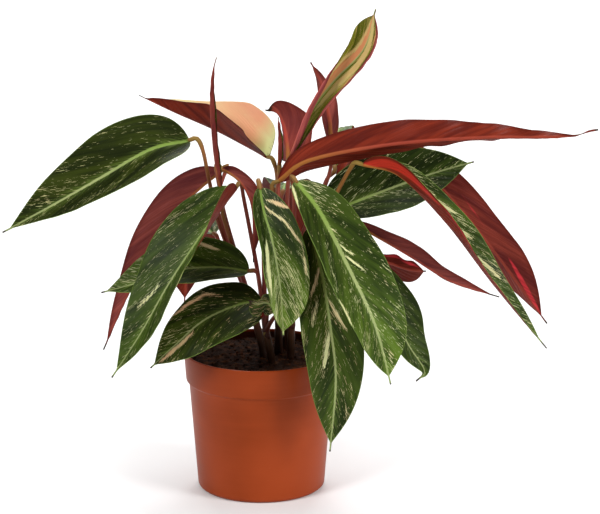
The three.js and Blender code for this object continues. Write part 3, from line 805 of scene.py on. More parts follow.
def upper_material(leaf):
    web = new_material("Leaf upper face")
    at = leaf_parts(web)
    streaks, fine = at.field["Streaks"], at.field["Fine veins"]
    ground = web.mix(web.step(at.field["Bands"], 0.35, 0.68), leaf.dark, leaf.green)
    ground = web.over(ground, leaf.green, web.step(fine, 0.4, 0.75), 0.3)
    # Tone scales each leaf's green: partly its own brightness, partly painted shade on leaves in shadow
    # and painted light on lit ones.
    ground = web.tinted(web.tinted(ground, at.tone), web.mix(at.tint, PLAIN, OLIVE_TINT))
    pale = web.mix(at.blush, leaf.cream, leaf.blush)
    pale = web.tinted(pale, web.mix(at.tint, PLAIN, STRAW_TINT))
    # A soft feathered paleness leaves the midrib along the veins.
    feather = web.math("MULTIPLY", web.step(streaks, 0.42, 0.66), web.step(at.away, 8, 0.5))
    ground = web.over(ground, leaf.midrib, feather, 0.36)
    # Thick streaks and patches with a faint halo, then thin dashes and specks
    level = web.scaled(web.math("SUBTRACT", streaks, 0.5), 1.6, at.cream)
    ground = web.over(ground, pale, web.step(level, 0.4, 0.56), 0.07)
    ground = web.over(ground, pale, web.step(level, 0.51, 0.55), 0.95)
    thin = web.step(web.scaled(at.cream, 0.35, at.field["Dashes"]), 0.71, 0.75)
    ground = web.over(ground, pale, thin, 0.9)
    ground = web.over(ground, leaf.cream, at.field["Specks"], 0.8)
    # The midrib narrows towards the tip and pales past its green base.
    wide = web.math("MULTIPLY", web.scaled(fine, 1.2, 0.45), web.attribute("leaf_rib", "Fac"))
    rib = web.step(at.away, web.scaled(wide, 1.2), web.scaled(wide, 0.6))
    rib_colour = web.mix(web.step(at.share, 0.1, 0.6), leaf.midrib, leaf.cream)
    rib_colour = web.mix(0.4, rib_colour, leaf.midrib)
    ground = web.over(ground, rib_colour, rib, web.scaled(at.share, -0.4, 0.8))
    ground = web.over(ground, leaf.midrib, web.step(at.edge, 0.8, 0.2), 0.35)
    ground = web.mix(at.dry, ground, leaf.dry)
    relief = web.bump(at.field["Height"], 0.35, 0.0012)
    web.surface(ground, web.scaled(fine, 0.24, 0.26), 0.09, relief)


def underside_material(leaf):
    web = new_material("Leaf underside")
    at = leaf_parts(web)
    fine = web.step(at.field["Fine veins"], 0.3, 0.65)
    ground = web.mix(web.step(at.field["Bands"], 0.3, 0.7), leaf.wine, leaf.wine_light)
    ground = web.mix(web.scaled(fine, 0.45, 0.55), leaf.wine, ground)
    ground = web.over(ground, leaf.rose, web.step(at.field["Streaks"], 0.55, 0.75), 0.12)
    # Tone scales each underside: partly its own colour, partly painted shade on leaves in shadow and
    # painted light on lit ones.
    ground = web.tinted(web.tinted(ground, at.tone), web.mix(at.tint, PLAIN, BURGUNDY_TINT))
    # Marks that are more than pink stand for a red or a pink flush of the underside.
    flushed = web.math("MULTIPLY", web.step(at.cream, 0.4, 0.8), web.step(at.blush, 1.0, 1.2))
    flush = web.mix(web.step(at.blush, 1.4, 1.6), leaf.red, leaf.flush)
    ground = web.over(ground, flush, flushed, web.scaled(fine, 0.45, 0.5))
    rib_colour = web.mix(web.step(at.share, 0.06, 0.36), leaf.olive, leaf.rose)
    rib = web.step(at.away, 1.9, 0.8)
    ground = web.over(ground, rib_colour, rib, web.scaled(at.share, -0.5, 0.8))
    ground = web.over(ground, leaf.wine, web.step(at.edge, 4.5, 0.3), 0.55)
    ground = web.mix(at.dry, ground, leaf.dry)
    relief = web.bump(at.field["Height"], 0.35, 0.0011)
    web.surface(ground, web.scaled(at.field["Fine veins"], 0.2, 0.42), 0.05, relief)


def margin_material(leaf, name, first, second):
    web = new_material(name)
    at = leaf_parts(web)
    ground = web.mix(web.step(at.field["Bands"], 0.4, 0.6), first, second)
    web.surface(web.mix(at.dry, ground, leaf.dry), 0.5, 0.15)


def leaf_materials(leaf, kind):
    """The names of the upper face's, the underside's and the margin's material."""
    if "Leaf upper face" not in bpy.data.materials:
        upper_material(leaf)
        underside_material(leaf)
        margin_material(leaf, "Leaf margin pale", leaf.midrib, leaf.green)
        margin_material(leaf, "Leaf margin dark", leaf.wine, leaf.dry)
    margin = "Leaf margin pale" if kind == "open" else "Leaf margin dark"
    return ["Leaf upper face", "Leaf underside", margin]


def stalk_material(stalk):
    web = new_material("Stalk")
    share, ripe, height = web.split(web.attribute("stalk_part"))
    lines = web.noise(web.attribute("stalk_round"), 1, 2, 0.55)
    grain = web.group(grain_field(), Place=object_place(web), Fine=900.0, Broad=60.0)
    # Painted shade: below 135 mm the stalks take the near-black colour, blending into their own red by
    # 205 mm.
    ground = web.mix(web.step(height, 135, 205), stalk.low, stalk.middle)
    ground = web.over(ground, stalk.ripe, web.step(share, 0.2, 0.9), ripe)
    ground = web.over(ground, stalk.joint, web.step(share, 0.88, 0.96), 0.6)
    ground = web.over(ground, stalk.low, web.step(lines, 0.4, 0.7), 0.4)
    ground = web.over(ground, stalk.ripe, grain["Mottle"], 0.06)
    web.surface(ground, web.scaled(grain["Grain"], 0.3, 0.3), 0.1, web.bump(lines, 0.4, 0.0006))


def plastic_material(pot):
    web = new_material("Pot plastic")
    place = object_place(web)
    x, y, z = web.split(place)
    grain = web.group(grain_field(), Place=place, Fine=1400.0, Broad=9.0)

    def stretched(wide, high, detail, roughness):
        """Noise that is finer up and down the wall than round it."""
        cells = web.vector(web.scaled(x, wide), web.scaled(y, wide), web.scaled(z, high))
        return web.noise(cells, 1, detail, roughness)

    deep = [channel * 0.8 for channel in pot.plastic]
    light = [min(channel * 1.18 + 0.006, 1) for channel in pot.plastic]
    ground = web.mix(web.step(grain["Mottle"], 0.3, 0.7), deep, light)
    # Faint flow marks run round the pot, as in any moulded wall.
    flow = stretched(6, 160, 3, 0.6)
    ground = web.over(ground, light, web.step(flow, 0.35, 0.7), 0.16)
    scuffs = stretched(90, 420, 4, 0.7)
    ground = web.over(ground, SCUFF_COLOUR, web.step(scuffs, 0.66, 0.78), 0.2)

    def shade_band(value, edge, fade):
        return web.step(value, edge - fade[0], edge - fade[1])

    # Painted shade: the inner wall from just under the rim down to about 14 mm below it is darkened
    # almost to black.
    away = web.math("SQRT", web.scaled(x, x, web.math("MULTIPLY", y, y)))
    inside = shade_band(away, pot.rim_radius, SHADE_INWARDS)
    upper, lower = shade_band(z, pot.height, SHADE_UPPER), shade_band(z, pot.height, SHADE_LOWER)
    shaded_wall = web.math("MULTIPLY", inside, web.math("MULTIPLY", upper, lower))
    ground = web.over(ground, INNER_SHADE_COLOUR, shaded_wall, 0.9)
    dull = web.scaled(grain["Grain"], 0.14, pot.roughness - 0.07)
    dull = web.scaled(web.step(scuffs, 0.6, 0.8), 0.1, dull)
    relief = web.bump(web.scaled(flow, 0.4, grain["Height"]), 0.12, 0.0004)
    web.surface(ground, dull, 0.13, relief)


def soil_material(soil):
    web = new_material("Potting soil")
    grain = web.group(grain_field(), Place=object_place(web), Fine=1300.0, Broad=160.0)
    ground = web.mix(web.step(grain["Mottle"], 0.45, 0.75), soil.dark, soil.light)
    ground = web.over(ground, soil.light, web.step(grain["Grain"], 0.62, 0.75), 0.6)
    relief = web.bump(grain["Height"], 0.9, 0.002)
    web.surface(ground, web.scaled(grain["Grain"], 0.3, 0.7), 0.1, relief)


# Pieces
def placed(name, data):
    made = bpy.data.objects.new(name, data)
    bpy.context.scene.collection.objects.link(made)
    return made


def finish_piece(name, mesh, materials, slot, *nodes):
    """A mesh in metres becomes a piece on the root body, in place of the CAD nodes named."""
    piece = placed(name, mesh)
    for material in materials:
        mesh.materials.append(bpy.data.materials[material])
    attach(piece, "root")
    if nodes:
        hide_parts(*nodes)
    return piece


def to_mesh(name, bm):
    for face in bm.faces:
        face.smooth = True
    bmesh.ops.transform(bm, matrix=Matrix.Scale(MM, 4), verts=bm.verts)
    mesh = bpy.data.meshes.new(name)
    bm.to_mesh(mesh)
    bm.free()
    return mesh


def band_radius(z, pot):
    low = pot.height / MM - BAND_HEIGHT
    return mix(BAND_LOW_RADIUS, pot.rim_radius / MM, (z - low) / BAND_HEIGHT)


def body_radius(z, pot):
    low = pot.height / MM - BAND_HEIGHT
    return mix(BASE_RADIUS, BODY_TOP_RADIUS, (z - CORNER) / (low - CORNER))


def arc(centre, radius, start, end, steps):
    """Points on an arc in the profile plane, with angles in degrees from straight out."""
    made = []
    for i in range(steps + 1):
        angle = math.radians(mix(start, end, i / steps))
        made.append((centre[0] + radius * math.cos(angle), centre[1] + radius * math.sin(angle)))
    return made


def pot_profile(pot):
    """Radius and height, from the middle of the underside out, up, over the rim and down inside."""
    top = pot.height / MM
    rim = pot.rim_radius / MM
    wall = pot.wall / MM
    low = top - BAND_HEIGHT
    lip = wall / 2
    return [
        (0, 0.4), (5, 0.4), (5.6, 0), (FOOT_DISC - 0.4, 0), (FOOT_DISC, 0.2),
        (FOOT_DISC + 1, GROOVE_DEPTH), (FOOT_RING_INNER - 1, GROOVE_DEPTH),
        (FOOT_RING_INNER, 0.2), (FOOT_RING_INNER + 0.4, 0),
        *arc((BASE_RADIUS - CORNER, CORNER), CORNER, -90, -4, 8),
        (body_radius(30, pot), 30), (body_radius(60, pot), 60), (body_radius(85, pot), 85),
        (body_radius(low - 2.2, pot), low - 2.2), (body_radius(low - 1.7, pot) + 0.15, low - 1.5),
        (BAND_LOW_RADIUS - 0.8, low), (BAND_LOW_RADIUS - 0.2, low + 0.6), (BAND_LOW_RADIUS, low + 1.4),
        (band_radius(low + 9, pot), low + 9), (band_radius(low + 18, pot), low + 18),
        *arc((rim - lip, top - lip), lip, 0, 180, 8),
        (rim - wall - 0.3, top - 6), (BAND_LOW_RADIUS - wall, low + 2),
        (body_radius(low, pot) - wall, low - 1.5), (body_radius(60, pot) - wall, 60),
        (BASE_RADIUS - wall, CORNER + 3), (BASE_RADIUS - wall - 1, CORNER + 0.8),
        (BASE_RADIUS - CORNER, FLOOR_TOP), (FOOT_DISC, FLOOR_TOP), (0, FLOOR_TOP),
    ]


def spun(profile, turns):
    """A profile of radius and height turned about the upright axis into one closed skin."""
    bm = bmesh.new()
    chain = [bm.verts.new((radius, 0, height)) for radius, height in profile]
    edges = [bm.edges.new(pair) for pair in zip(chain, chain[1:])]
    bmesh.ops.spin(
        bm, geom=[*chain, *edges], cent=(0, 0, 0), axis=(0, 0, 1),
        angle=2 * math.pi, steps=turns, use_merge=True, use_duplicate=False,
    )
    bmesh.ops.remove_doubles(bm, verts=bm.verts, dist=1e-3)
    bmesh.ops.recalc_face_normals(bm, faces=bm.faces)
    return bm


def bored(mesh, cutter_mesh):
    """The mesh with the cutter's bodies taken out of it."""
    block = placed("block", mesh)
    cutter = placed("cutter", cutter_mesh)
    cut = block.modifiers.new("holes", "BOOLEAN")
    cut.operation = "DIFFERENCE"
    cut.solver = "EXACT"
    cut.object = cutter
    graph = bpy.context.evaluated_depsgraph_get()
    made = bpy.data.meshes.new_from_object(block.evaluated_get(graph))
    for thing in (block, cutter):
        bpy.data.objects.remove(thing)
    return made


def make_pot(pot):
    shell = to_mesh("pot_wall", spun(pot_profile(pot), POT_TURNS))
    bm = bmesh.new()
    reach = (FOOT_DISC + FOOT_RING_INNER) / 2
    for i in range(DRAIN_HOLES):
        turn = Matrix.Rotation(2 * math.pi * i / DRAIN_HOLES, 4, "Z")
        bmesh.ops.create_cone(
            bm, cap_ends=True, segments=DRAIN_SIDES, radius1=DRAIN_RADIUS, radius2=DRAIN_RADIUS,
            depth=DRAIN_PIN_LENGTH, matrix=turn @ Matrix.Translation((reach, 0, GROOVE_DEPTH)),
        )
    mesh = bored(shell, to_mesh("drain_pins", bm))
    mesh.name = "pot_wall"
    plastic_material(pot)
    finish_piece("pot_wall", mesh, ["Pot plastic"], "pot", "pot")


def soil_height(x, y, soil):
    """Mounded in the middle, lumpy, and crumbly close up."""
    away = math.hypot(x, y) / 70
    lumps = math.sin(0.31 * x + 1.3) * math.cos(0.27 * y) + 0.6 * math.sin(0.53 * y + 0.41 * x)
    crumbs = noise.fractal(Vector((x * 0.16, y * 0.16, 4.7)), 0.6, 2.1, 4)
    clods = noise.noise(Vector((x * 0.07, y * 0.07, 9.1)))
    return soil.level / MM + soil.mound / MM * (1 - away * away) + 0.7 * lumps + 0.9 * crumbs + clods


def make_soil(soil, pot):
    level = soil.level / MM
    gap = pot.wall / MM + SOIL_GAP
    low = pot.height / MM - BAND_HEIGHT
    edge = band_radius(level, pot) - gap
    profile = [
        (0, FLOOR_TOP + 0.4), (BASE_RADIUS - CORNER - 1, FLOOR_TOP + 0.4),
        (BASE_RADIUS - gap - 1, CORNER + 2), (body_radius(low - 2, pot) - gap, low - 2),
        (band_radius(low + 3, pot) - gap, low + 3), (edge, level - 3.5), (edge, level - 1.5),
    ]
    top = edge - 0.6
    profile += [(top - top * i / SOIL_RINGS, level) for i in range(SOIL_RINGS + 1)]
    bm = spun(profile, SOIL_TURNS)
    for vert in bm.verts:
        x, y, z = vert.co
        if z > level - 0.5:
            vert.co.z = soil_height(x, y, soil)
    soil_material(soil)
    finish_piece("soil_bed", to_mesh("soil_bed", bm), ["Potting soil"], "soil", "soil")

    draw = random.Random(CRUMB_SEED)
    bm = bmesh.new()
    for _ in range(soil.crumbs):
        away = (edge - 2.5) * math.sqrt(draw.random())
        turn = draw.uniform(0, 2 * math.pi)
        x, y = away * math.cos(turn), away * math.sin(turn)
        size = soil.crumb_size / MM * mix(0.25, 1, draw.random() ** 2.2)
        chip = draw.random() < CHIP_SHARE
        stretch = Vector((1, draw.uniform(0.55, 0.9), draw.uniform(0.5, 0.85)))
        if chip:
            stretch = Vector((draw.uniform(1.8, 3.2), 0.5, 0.3))
        place = Vector((x, y, soil_height(x, y, soil) + size * stretch.z * 0.35))
        spin = Matrix.Rotation(draw.uniform(0, math.pi), 4, "Z")
        spin = spin @ Matrix.Rotation(draw.uniform(-0.4, 0.4), 4, "X")
        made = bmesh.ops.create_icosphere(bm, subdivisions=1, radius=size)["verts"]
        for vert in made:
            knock = 1 + 0.28 * noise.noise(vert.co * (1.6 / size) + place)
            vert.co = Vector(a * b for a, b in zip(vert.co * knock, stretch))
            vert.co = spin @ vert.co + place
    finish_piece("soil_crumbs", to_mesh("soil_crumbs", bm), ["Potting soil"], "soil")


def add_tube(bm, points, radius_at, sides, steps, ripe, seed):
    """A closed round tube along a smooth way, with its share and look kept for the material."""
    way = Way(points)
    part_layer = bm.verts.layers.float_vector["stalk_part"]
    round_layer = bm.verts.layers.float_vector["stalk_round"]
    verts = bmesh.ops.create_grid(bm, x_segments=steps, y_segments=sides, size=1)["verts"]
    normal = way.heading(0).cross(Vector((0, 1, 0))).normalized()
    rings = []
    for i in range(steps + 1):
        heading = way.heading(i / steps)
        normal = (normal - heading * normal.dot(heading)).normalized()
        rings.append((way.place(i / steps), normal.copy(), heading.cross(normal)))
    for vert in verts:
        row = round((vert.co.x + 1) / 2 * steps)
        column = round((vert.co.y + 1) / 2 * sides)
        share = row / steps
        angle = 2 * math.pi * column / sides
        x, y = math.cos(angle), math.sin(angle)
        centre, first, second = rings[row]
        reach = radius_at(share) * (1 + 0.05 * math.cos(2 * angle + 1.3 + 4 * share))
        vert.co = centre + (first * x + second * y) * reach
        vert[part_layer] = (share, ripe, vert.co.z)
        passed = share * way.length / GRAIN_LENGTH
        vert[round_layer] = (x * GRAIN_LINES, y * GRAIN_LINES, passed + seed)
    bmesh.ops.remove_doubles(bm, verts=verts, dist=1e-4)
    live = [vert for vert in verts if vert.is_valid]
    rim = {edge for vert in live for edge in vert.link_edges if edge.is_boundary}
    bmesh.ops.holes_fill(bm, edges=list(rim), sides=0)


def stem_radius(share):
    """Flared at the foot, thinning upwards, with faint rings where old sheaths sat."""
    flare = STEM_FLARE * (1 - smooth_step(share, 0.2, 0.5))
    rings = STEM_RINGS[0] * math.sin(share * STEM_RINGS[1])
    return mix(STEM_RADIUS, STEM_TOP_RADIUS, share) + flare + rings


def stalk_radius(share):
    """A clasping root, a thinning stalk, and the thicker joint under the blade."""
    sheath = STALK_SHEATH * (1 - smooth_step(share, 0, 0.28))
    body = mix(STALK_RADIUS, STALK_TOP_RADIUS, min(share / JOINT_START, 1))
    joint = smooth_step(share, JOINT_START - JOINT_FADE, JOINT_START + JOINT_FADE)
    end = 0.35 * smooth_step(share, 0.975, 1)
    return body + sheath + (JOINT_RADIUS - STALK_TOP_RADIUS) * joint - end


def make_shoot(key, stalk, soil):
    foot, fork = SHOOTS[key]["foot"], SHOOTS[key]["fork"]
    level = soil.level / MM
    scale = stalk.thickness
    bm = bmesh.new()
    bm.verts.layers.float_vector.new("stalk_part")
    bm.verts.layers.float_vector.new("stalk_round")
    start, collar = (*foot, level - STEM_SUNK), (*foot, level + STEM_COLLAR)
    add_tube(
        bm, [start, collar, fork], lambda share: stem_radius(share) * scale,
        STEM_SIDES, STEM_STEPS, STEM_RIPENESS, len(key),
    )
    root = Vector(collar).lerp(Vector(fork), STALK_ROOT)
    for number, leaf in enumerate(LEAVES.values()):
        if leaf["shoot"] != key:
            continue
        base = Vector(leaf["rib"][0])
        heading = (Vector(leaf["rib"][1]) - base).normalized()
        ends = [base - heading * JOINT_LENGTH, base + heading * STALK_DEPTH_IN_BLADE]
        way = [root, fork, *leaf["stalk"], *ends]
        steps = max(STALK_LEAST_STEPS, round(Way(way).length / STALK_STEP))
        add_tube(
            bm, way, lambda share: stalk_radius(share) * scale,
            STALK_SIDES, steps, leaf["ripe"], STALK_SEED_STEP * number,
        )
    bmesh.ops.recalc_face_normals(bm, faces=bm.faces)
    name = f"shoot_{key}"
    mesh = to_mesh(f"{name}_stalks", bm)
    finish_piece(mesh.name, mesh, ["Stalk"], "stalk", name)


def half_width(leaf, share, hand):
    """The width of one half at a share of the length: rounded base, full middle, drawn-out tip."""
    half = leaf["half"] * (1 + hand * leaf["lean"])
    along = min(share / BODY_SHARE, 1)
    if along < leaf["widest"]:
        back = 1 - along / leaf["widest"]
        return max(BASE_HALF, half * (1 - back**BASE_POWER) ** BASE_ROUND)
    ahead = (along - leaf["widest"]) / (1 - leaf["widest"])
    return max(TIP_HALF, half * (1 - ahead ** leaf["blunt"]) ** TIP_DRAW)


def bend(reach, start, turn):
    """The end of an arc that starts at one angle and turns by another."""
    if abs(turn) < 1e-4:
        return reach * math.cos(start), reach * math.sin(start)
    radius = reach / turn
    out = radius * (math.sin(start + turn) - math.sin(start))
    return out, radius * (math.cos(start) - math.cos(start + turn))


def section(distance, width, fold, curl):
    """Where a point of one half lies: out along the side, up along the face, and its angle."""
    crease = CREASE_SHARE * width
    fold = min(fold, crease / (TIGHTEST_FOLD * SOLID_THICKNESS))
    curl = min(curl, (width - crease) / (TIGHTEST_CURL * SOLID_THICKNESS))
    inner = min(distance, crease)
    folded = fold * inner / crease
    turn = curl * (distance - inner) / (width - crease)
    first, rest = bend(inner, 0, folded), bend(distance - inner, folded, turn)
    return first[0] + rest[0], first[1] + rest[1], folded + turn


def vein_place(leaf, along, away):
    """The distance along the midrib at which the side vein through a point leaves it."""
    slope, sweep = leaf["slope"]
    return along - slope * away - sweep * away * away


def line_gap(point, start, end):
    """How far a point is from a straight stretch, and the share of it passed there."""
    run = end - start
    share = min(max((point - start).dot(run) / run.length_squared, 0), 1)
    return (point - start - run * share).length, share


def painted(leaf, at):
    """How pale and how pink a point is, after the leaf's own brush marks."""
    point = Vector((at.along, at.away))
    cream, blush = leaf["cream"], leaf["blush"]
    cream = mix(cream, leaf.get("tip_cream", cream), smooth_step(at.share, 0.2, 0.9))
    if "green_base" in leaf:
        cream *= mix(0.62, 1, smooth_step(at.share, 0, 0.14))
        blush = mix(-0.2, blush, smooth_step(at.share, 0.04, leaf["green_base"]))
        blush -= 0.45 * smooth_step(at.share, 0.4, 0.8)
    for side, line, reach, pink in leaf["marks"]:
        if side != at.hand:
            continue
        knots = [Vector((s * at.length, w * half_width(leaf, s, side))) for s, w in line]
        stretches = list(zip(knots, knots[1:]))
        gap, run = min(
            (gap, (i + share) / len(stretches))
            for i, (gap, share) in enumerate(line_gap(point, *pair) for pair in stretches)
        )
        thick = reach * (0.15 + 0.85 * math.sin(math.pi * run) ** 0.7)
        strength = min(max(0.5 + (thick - gap) * 0.32, 0), 1.1)
        if strength > cream:
            cream, blush = strength, pink
    return cream, blush


def blade_frames(leaf, way, rows):
    """Each row across a blade: its share, its middle, and the ways to its side and its face."""
    faces = Way(leaf["face"])
    frames = []
    for i in range(rows + 1):
        even = i / rows
        share = mix(even, (1 - math.cos(math.pi * even)) / 2, ROW_CROWDING)
        heading = way.heading(share)
        face = faces.at(share)
        face = (face - heading * face.dot(heading)).normalized()
        frames.append((share, way.place(share), heading.cross(face), face))
    return frames


def blade_point(leaf, number, share, length, column):
    """Where a point of the grid is on its blade, in shares and in millimetres."""
    hand = -1 if column < 0 else 1
    width = half_width(leaf, share, hand)
    spread = SPREADS[abs(column)]
    along, away = share * length, spread * width
    return SimpleNamespace(
        hand=hand, half=max(hand, 0), share=share, spread=spread, along=along, away=away,
        width=width, length=length, vein=vein_place(leaf, along, away),
        seed=BLADE_SEED_STEP * number,
    )


def blade_bend(leaf, at):
    """How far the half folds at its crease and rolls outside it, in radians."""
    turns = []
    for key in ("fold", "curl"):
        base, tip = leaf[key], leaf.get(f"{key}_tip", leaf[key])
        turns.append(math.radians(mix(base[at.half], tip[at.half], at.share)))
    return turns


def blade_waves(leaf, at):
    """The long waves of the margin, and the small frill on them."""
    ripple = math.sin(2 * math.pi * leaf["waves"] * at.share + at.half * WAVE_SHIFT)
    envelope = math.sin(math.pi * at.share ** leaf["late"]) * at.spread**2
    frill = noise.noise(Vector((at.along * 0.075, at.seed, at.hand * 3.1))) * envelope * FRILL
    return leaf["wave"][at.half] * envelope * ripple, frill


def blade_relief(at, settings):
    """The folds between side veins, and the groove above the midrib."""
    beat = noise.noise(Vector((at.vein * 0.05, at.away * 0.05, at.seed)))
    fade = smooth_step(at.spread, 0.04, 0.2) * (1 - smooth_step(at.spread, 0.8, 1))
    fade *= smooth_step(at.share, 0.02, 0.1) * (1 - smooth_step(at.share, 0.85, 1))
    turn = 2 * math.pi * at.vein / (settings.vein_pitch / MM) + 2.2 * beat
    quilt = settings.relief / MM * fade * (1 + beat) * math.sin(turn)
    groove = RIB_GROOVE * (1 - at.share) * (1 - smooth_step(at.away, 0.3, 2.2))
    return quilt - groove


def blade_looks(leaf, at):
    """The values of BLADE_LAYERS at a point."""
    cream, blush = painted(leaf, at)
    blush += 0.3 * noise.noise(Vector((at.vein * 0.045, at.away * 0.03, at.seed + at.hand)))
    # Tone from base to tip: partly the leaf's own brightness, partly painted light and shade for where
    # the leaf stands.
    tone = mix(leaf["tone"], leaf.get("tip_tone_and_lighting", leaf["tone"]), at.share * at.share)
    rag = noise.noise(Vector((at.away * 0.6, at.seed, at.along * 0.3)))
    ragged = leaf["dry"] * (1 + 0.5 * rag)
    left = (1 - at.share) * at.length
    return {
        "leaf_place": (at.along, at.hand * at.away, at.vein),
        "leaf_part": (at.share, at.width - at.away, at.seed),
        "leaf_look": (cream, blush, tone),
        "leaf_dry": 1 - smooth_step(left, 0.55 * ragged, ragged) if ragged else 0,
        "leaf_rib": mix(1.25, 0.5, at.share) * leaf["rib_look"],
        "leaf_tint": leaf["tint"],
    }


def make_blade(name, number, leaf, settings):
    way = Way(leaf["rib"])
    rows = round(way.length / ROW_LENGTH)
    columns = len(SPREADS) - 1
    thin = settings.thickness / MM
    rib_height = settings.rib / MM
    shell = thin + rib_height
    bm = bmesh.new()
    layers = {key: getattr(bm.verts.layers, kind).new(key) for key, kind in BLADE_LAYERS.items()}
    weights = bm.verts.layers.deform.verify()
    bmesh.ops.create_grid(bm, x_segments=rows, y_segments=2 * columns, size=1)
    frames = blade_frames(leaf, way, rows)
    for vert in bm.verts:
        share, middle, side, face = frames[round((vert.co.x + 1) / 2 * rows)]
        at = blade_point(leaf, number, share, way.length, round(-vert.co.y * columns))
        fold, roll = blade_bend(leaf, at)
        out, up, angle = section(at.away, at.width, fold, roll)
        normal = face * math.cos(angle) - side * at.hand * math.sin(angle)
        outward = side * at.hand * math.cos(angle) + face * math.sin(angle)
        lift, frill = blade_waves(leaf, at)
        skin = middle + side * at.hand * out + face * up + outward * RUFFLE * lift
        vert.co = skin + normal * (lift + frill + blade_relief(at, settings) + thin / 2)
        rib = rib_height * (1 - 0.8 * share) * (1 - smooth_step(at.away, 0.5, 2.4))
        margin = 1 - MARGIN_THINNING * smooth_step(at.spread, 0.93, 1)
        vert[weights][0] = min((thin * margin + rib) / shell, 1)
        for key, value in blade_looks(leaf, at).items():
            vert[layers[key]] = value

    mesh = to_mesh(f"{name}_blade", bm)
    materials = leaf_materials(settings, leaf["kind"])
    piece = finish_piece(mesh.name, mesh, materials, SLOTS[leaf["kind"]], name)
    piece.vertex_groups.new(name="thickness")
    body = piece.modifiers.new("Blade", "SOLIDIFY")
    body.thickness = shell * MM
    body.offset = -1
    body.vertex_group = "thickness"
    body.material_offset = 1
    body.material_offset_rim = 2


def make_leaves(kind, settings):
    for number, (name, leaf) in enumerate(LEAVES.items()):
        if leaf["kind"] == kind:
            make_blade(name, number, leaf, settings)


# Stage
def add_lamp(name, place, aim, size, power):
    lamp = bpy.data.lights.new(name, "AREA")
    lamp.shape = "DISK"
    lamp.size = size
    lamp.energy = power
    holder = placed(name, lamp)
    holder.location = place
    holder.rotation_euler = (Vector(aim) - Vector(place)).to_track_quat("-Z", "Y").to_euler()


def make_floor(stage):
    bm = bmesh.new()
    bmesh.ops.create_grid(bm, x_segments=8, y_segments=8, size=FLOOR_REACH)
    mesh = bpy.data.meshes.new("floor")
    bm.to_mesh(mesh)
    bm.free()
    web = new_material("Floor")
    mottle = web.noise(object_place(web), 3, 2)
    dim = [FLOOR_MOTTLE * channel for channel in stage.floor]
    web.surface(web.mix(mottle, stage.floor, dim), 0.85, 0.5)
    mesh.materials.append(bpy.data.materials["Floor"])
    placed("floor", mesh)


def make_world(stage):
    """Soft light from all round, and plain white behind the plant."""
    world = bpy.data.worlds.new("Studio")
    world.use_nodes = True
    world.node_tree.nodes.clear()
    web = Web(world.node_tree)
    light, behind = (
        web.socket("ShaderNodeBackground", {"Color": PLAIN, "Strength": strength})
        for strength in (WORLD_LIGHT * stage.light, 1.0)
    )
    seen = web.node("ShaderNodeLightPath").outputs["Is Camera Ray"]
    both = web.socket("ShaderNodeMixShader", {0: seen, 1: light, 2: behind})
    web.feed(web.node("ShaderNodeOutputWorld").inputs["Surface"], both)
    bpy.context.scene.world = world


def make_camera(stage):
    view = bpy.data.cameras.new("camera")
    view.lens = stage.lens
    view.sensor_width = 36
    view.clip_end = 30
    camera = placed("camera", view)
    camera.location = CAMERA_PLACE
    camera.rotation_euler = (math.radians(90 - CAMERA_PITCH), 0, 0)
    bpy.context.scene.camera = camera


def make_stage(stage):
    bpy.context.scene.view_settings.view_transform = "Standard"
    make_floor(stage)
    make_world(stage)
    for name, (place, aim, size, power) in LAMPS.items():
        add_lamp(name, place, aim, size, power * stage.light)
    make_camera(stage)


# Operators, panel and registration
class PLANT_OT_stage(bpy.types.Operator):
    """Lay the floor, hang the soft lights and set up the camera"""

    bl_idname = "plant.stage"
    bl_label = "Stage"

    def execute(self, context):
        make_stage(context.scene.plant_stage)
        return {"FINISHED"}


class PLANT_OT_pot(bpy.types.Operator):
    """Spin the nursery pot and bore its drain holes"""

    bl_idname = "plant.pot"
    bl_label = "Pot"

    def execute(self, context):
        make_pot(context.scene.plant_pot)
        return {"FINISHED"}


class PLANT_OT_soil(bpy.types.Operator):
    """Fill the pot with soil and scatter crumbs on it"""

    bl_idname = "plant.soil"
    bl_label = "Soil"

    def execute(self, context):
        make_soil(context.scene.plant_soil, context.scene.plant_pot)
        return {"FINISHED"}


class PLANT_OT_shoots(bpy.types.Operator):
    """Grow the stems and their leaf stalks"""

    bl_idname = "plant.shoots"
    bl_label = "Shoots"

    def execute(self, context):
        stalk_material(context.scene.plant_stalk)
        for key in SHOOTS:
            make_shoot(key, context.scene.plant_stalk, context.scene.plant_soil)
        return {"FINISHED"}


class PLANT_OT_open_leaves(bpy.types.Operator):
    """Make the leaves that show their striped upper face"""

    bl_idname = "plant.open_leaves"
    bl_label = "Open leaves"

    def execute(self, context):
        make_leaves("open", context.scene.plant_leaf)
        return {"FINISHED"}


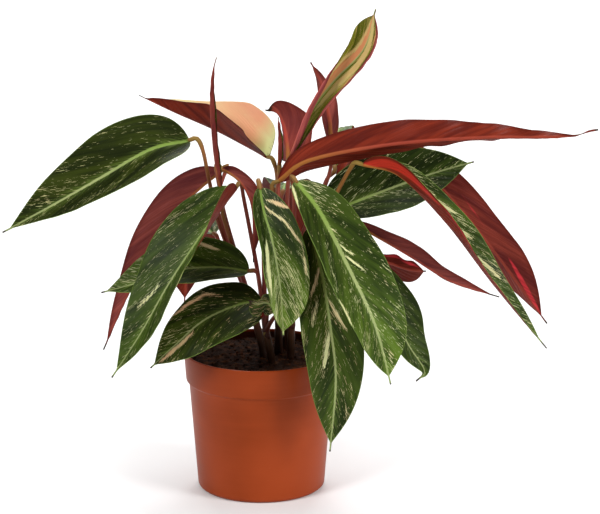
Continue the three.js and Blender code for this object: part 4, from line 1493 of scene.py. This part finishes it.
class PLANT_OT_turned_leaves(bpy.types.Operator):
    """Make the leaves that show their wine-red underside"""

    bl_idname = "plant.turned_leaves"
    bl_label = "Turned leaves"

    def execute(self, context):
        make_leaves("turned", context.scene.plant_leaf)
        return {"FINISHED"}


class PLANT_OT_young_leaves(bpy.types.Operator):
    """Make the young leaves that stand up, rolled or unrolling"""

    bl_idname = "plant.young_leaves"
    bl_label = "Young leaves"

    def execute(self, context):
        make_leaves("young", context.scene.plant_leaf)
        return {"FINISHED"}


OPERATORS = (
    PLANT_OT_stage, PLANT_OT_pot, PLANT_OT_soil, PLANT_OT_shoots,
    PLANT_OT_open_leaves, PLANT_OT_turned_leaves, PLANT_OT_young_leaves,
)
SETTINGS = {
    "plant_stage": StageSettings,
    "plant_pot": PotSettings,
    "plant_soil": SoilSettings,
    "plant_stalk": StalkSettings,
    "plant_leaf": LeafSettings,
}


class PLANT_PT_panel(bpy.types.Panel):
    """Settings and build steps of the potted plant"""

    bl_idname = "PLANT_PT_panel"
    bl_label = "Prayer plant"
    bl_space_type = "VIEW_3D"
    bl_region_type = "UI"
    bl_category = "Prayer plant"

    def draw(self, context):
        for name in SETTINGS:
            box = self.layout.box()
            settings = getattr(context.scene, name)
            for key in settings.__annotations__:
                box.prop(settings, key)
        for operator in OPERATORS:
            self.layout.operator(operator.bl_idname)


def register():
    for group in (*SETTINGS.values(), *OPERATORS, PLANT_PT_panel):
        bpy.utils.register_class(group)
    for name, group in SETTINGS.items():
        setattr(bpy.types.Scene, name, PointerProperty(type=group))


def unregister():
    for name in SETTINGS:
        delattr(bpy.types.Scene, name)
    for group in reversed((*SETTINGS.values(), *OPERATORS, PLANT_PT_panel)):
        bpy.utils.unregister_class(group)


def main():
    register()
    bpy.ops.plant.stage()
    bpy.ops.plant.pot()
    bpy.ops.plant.soil()
    bpy.ops.plant.shoots()
    bpy.ops.plant.open_leaves()
    bpy.ops.plant.turned_leaves()
    bpy.ops.plant.young_leaves()


if __name__ == "__main__":
    main()
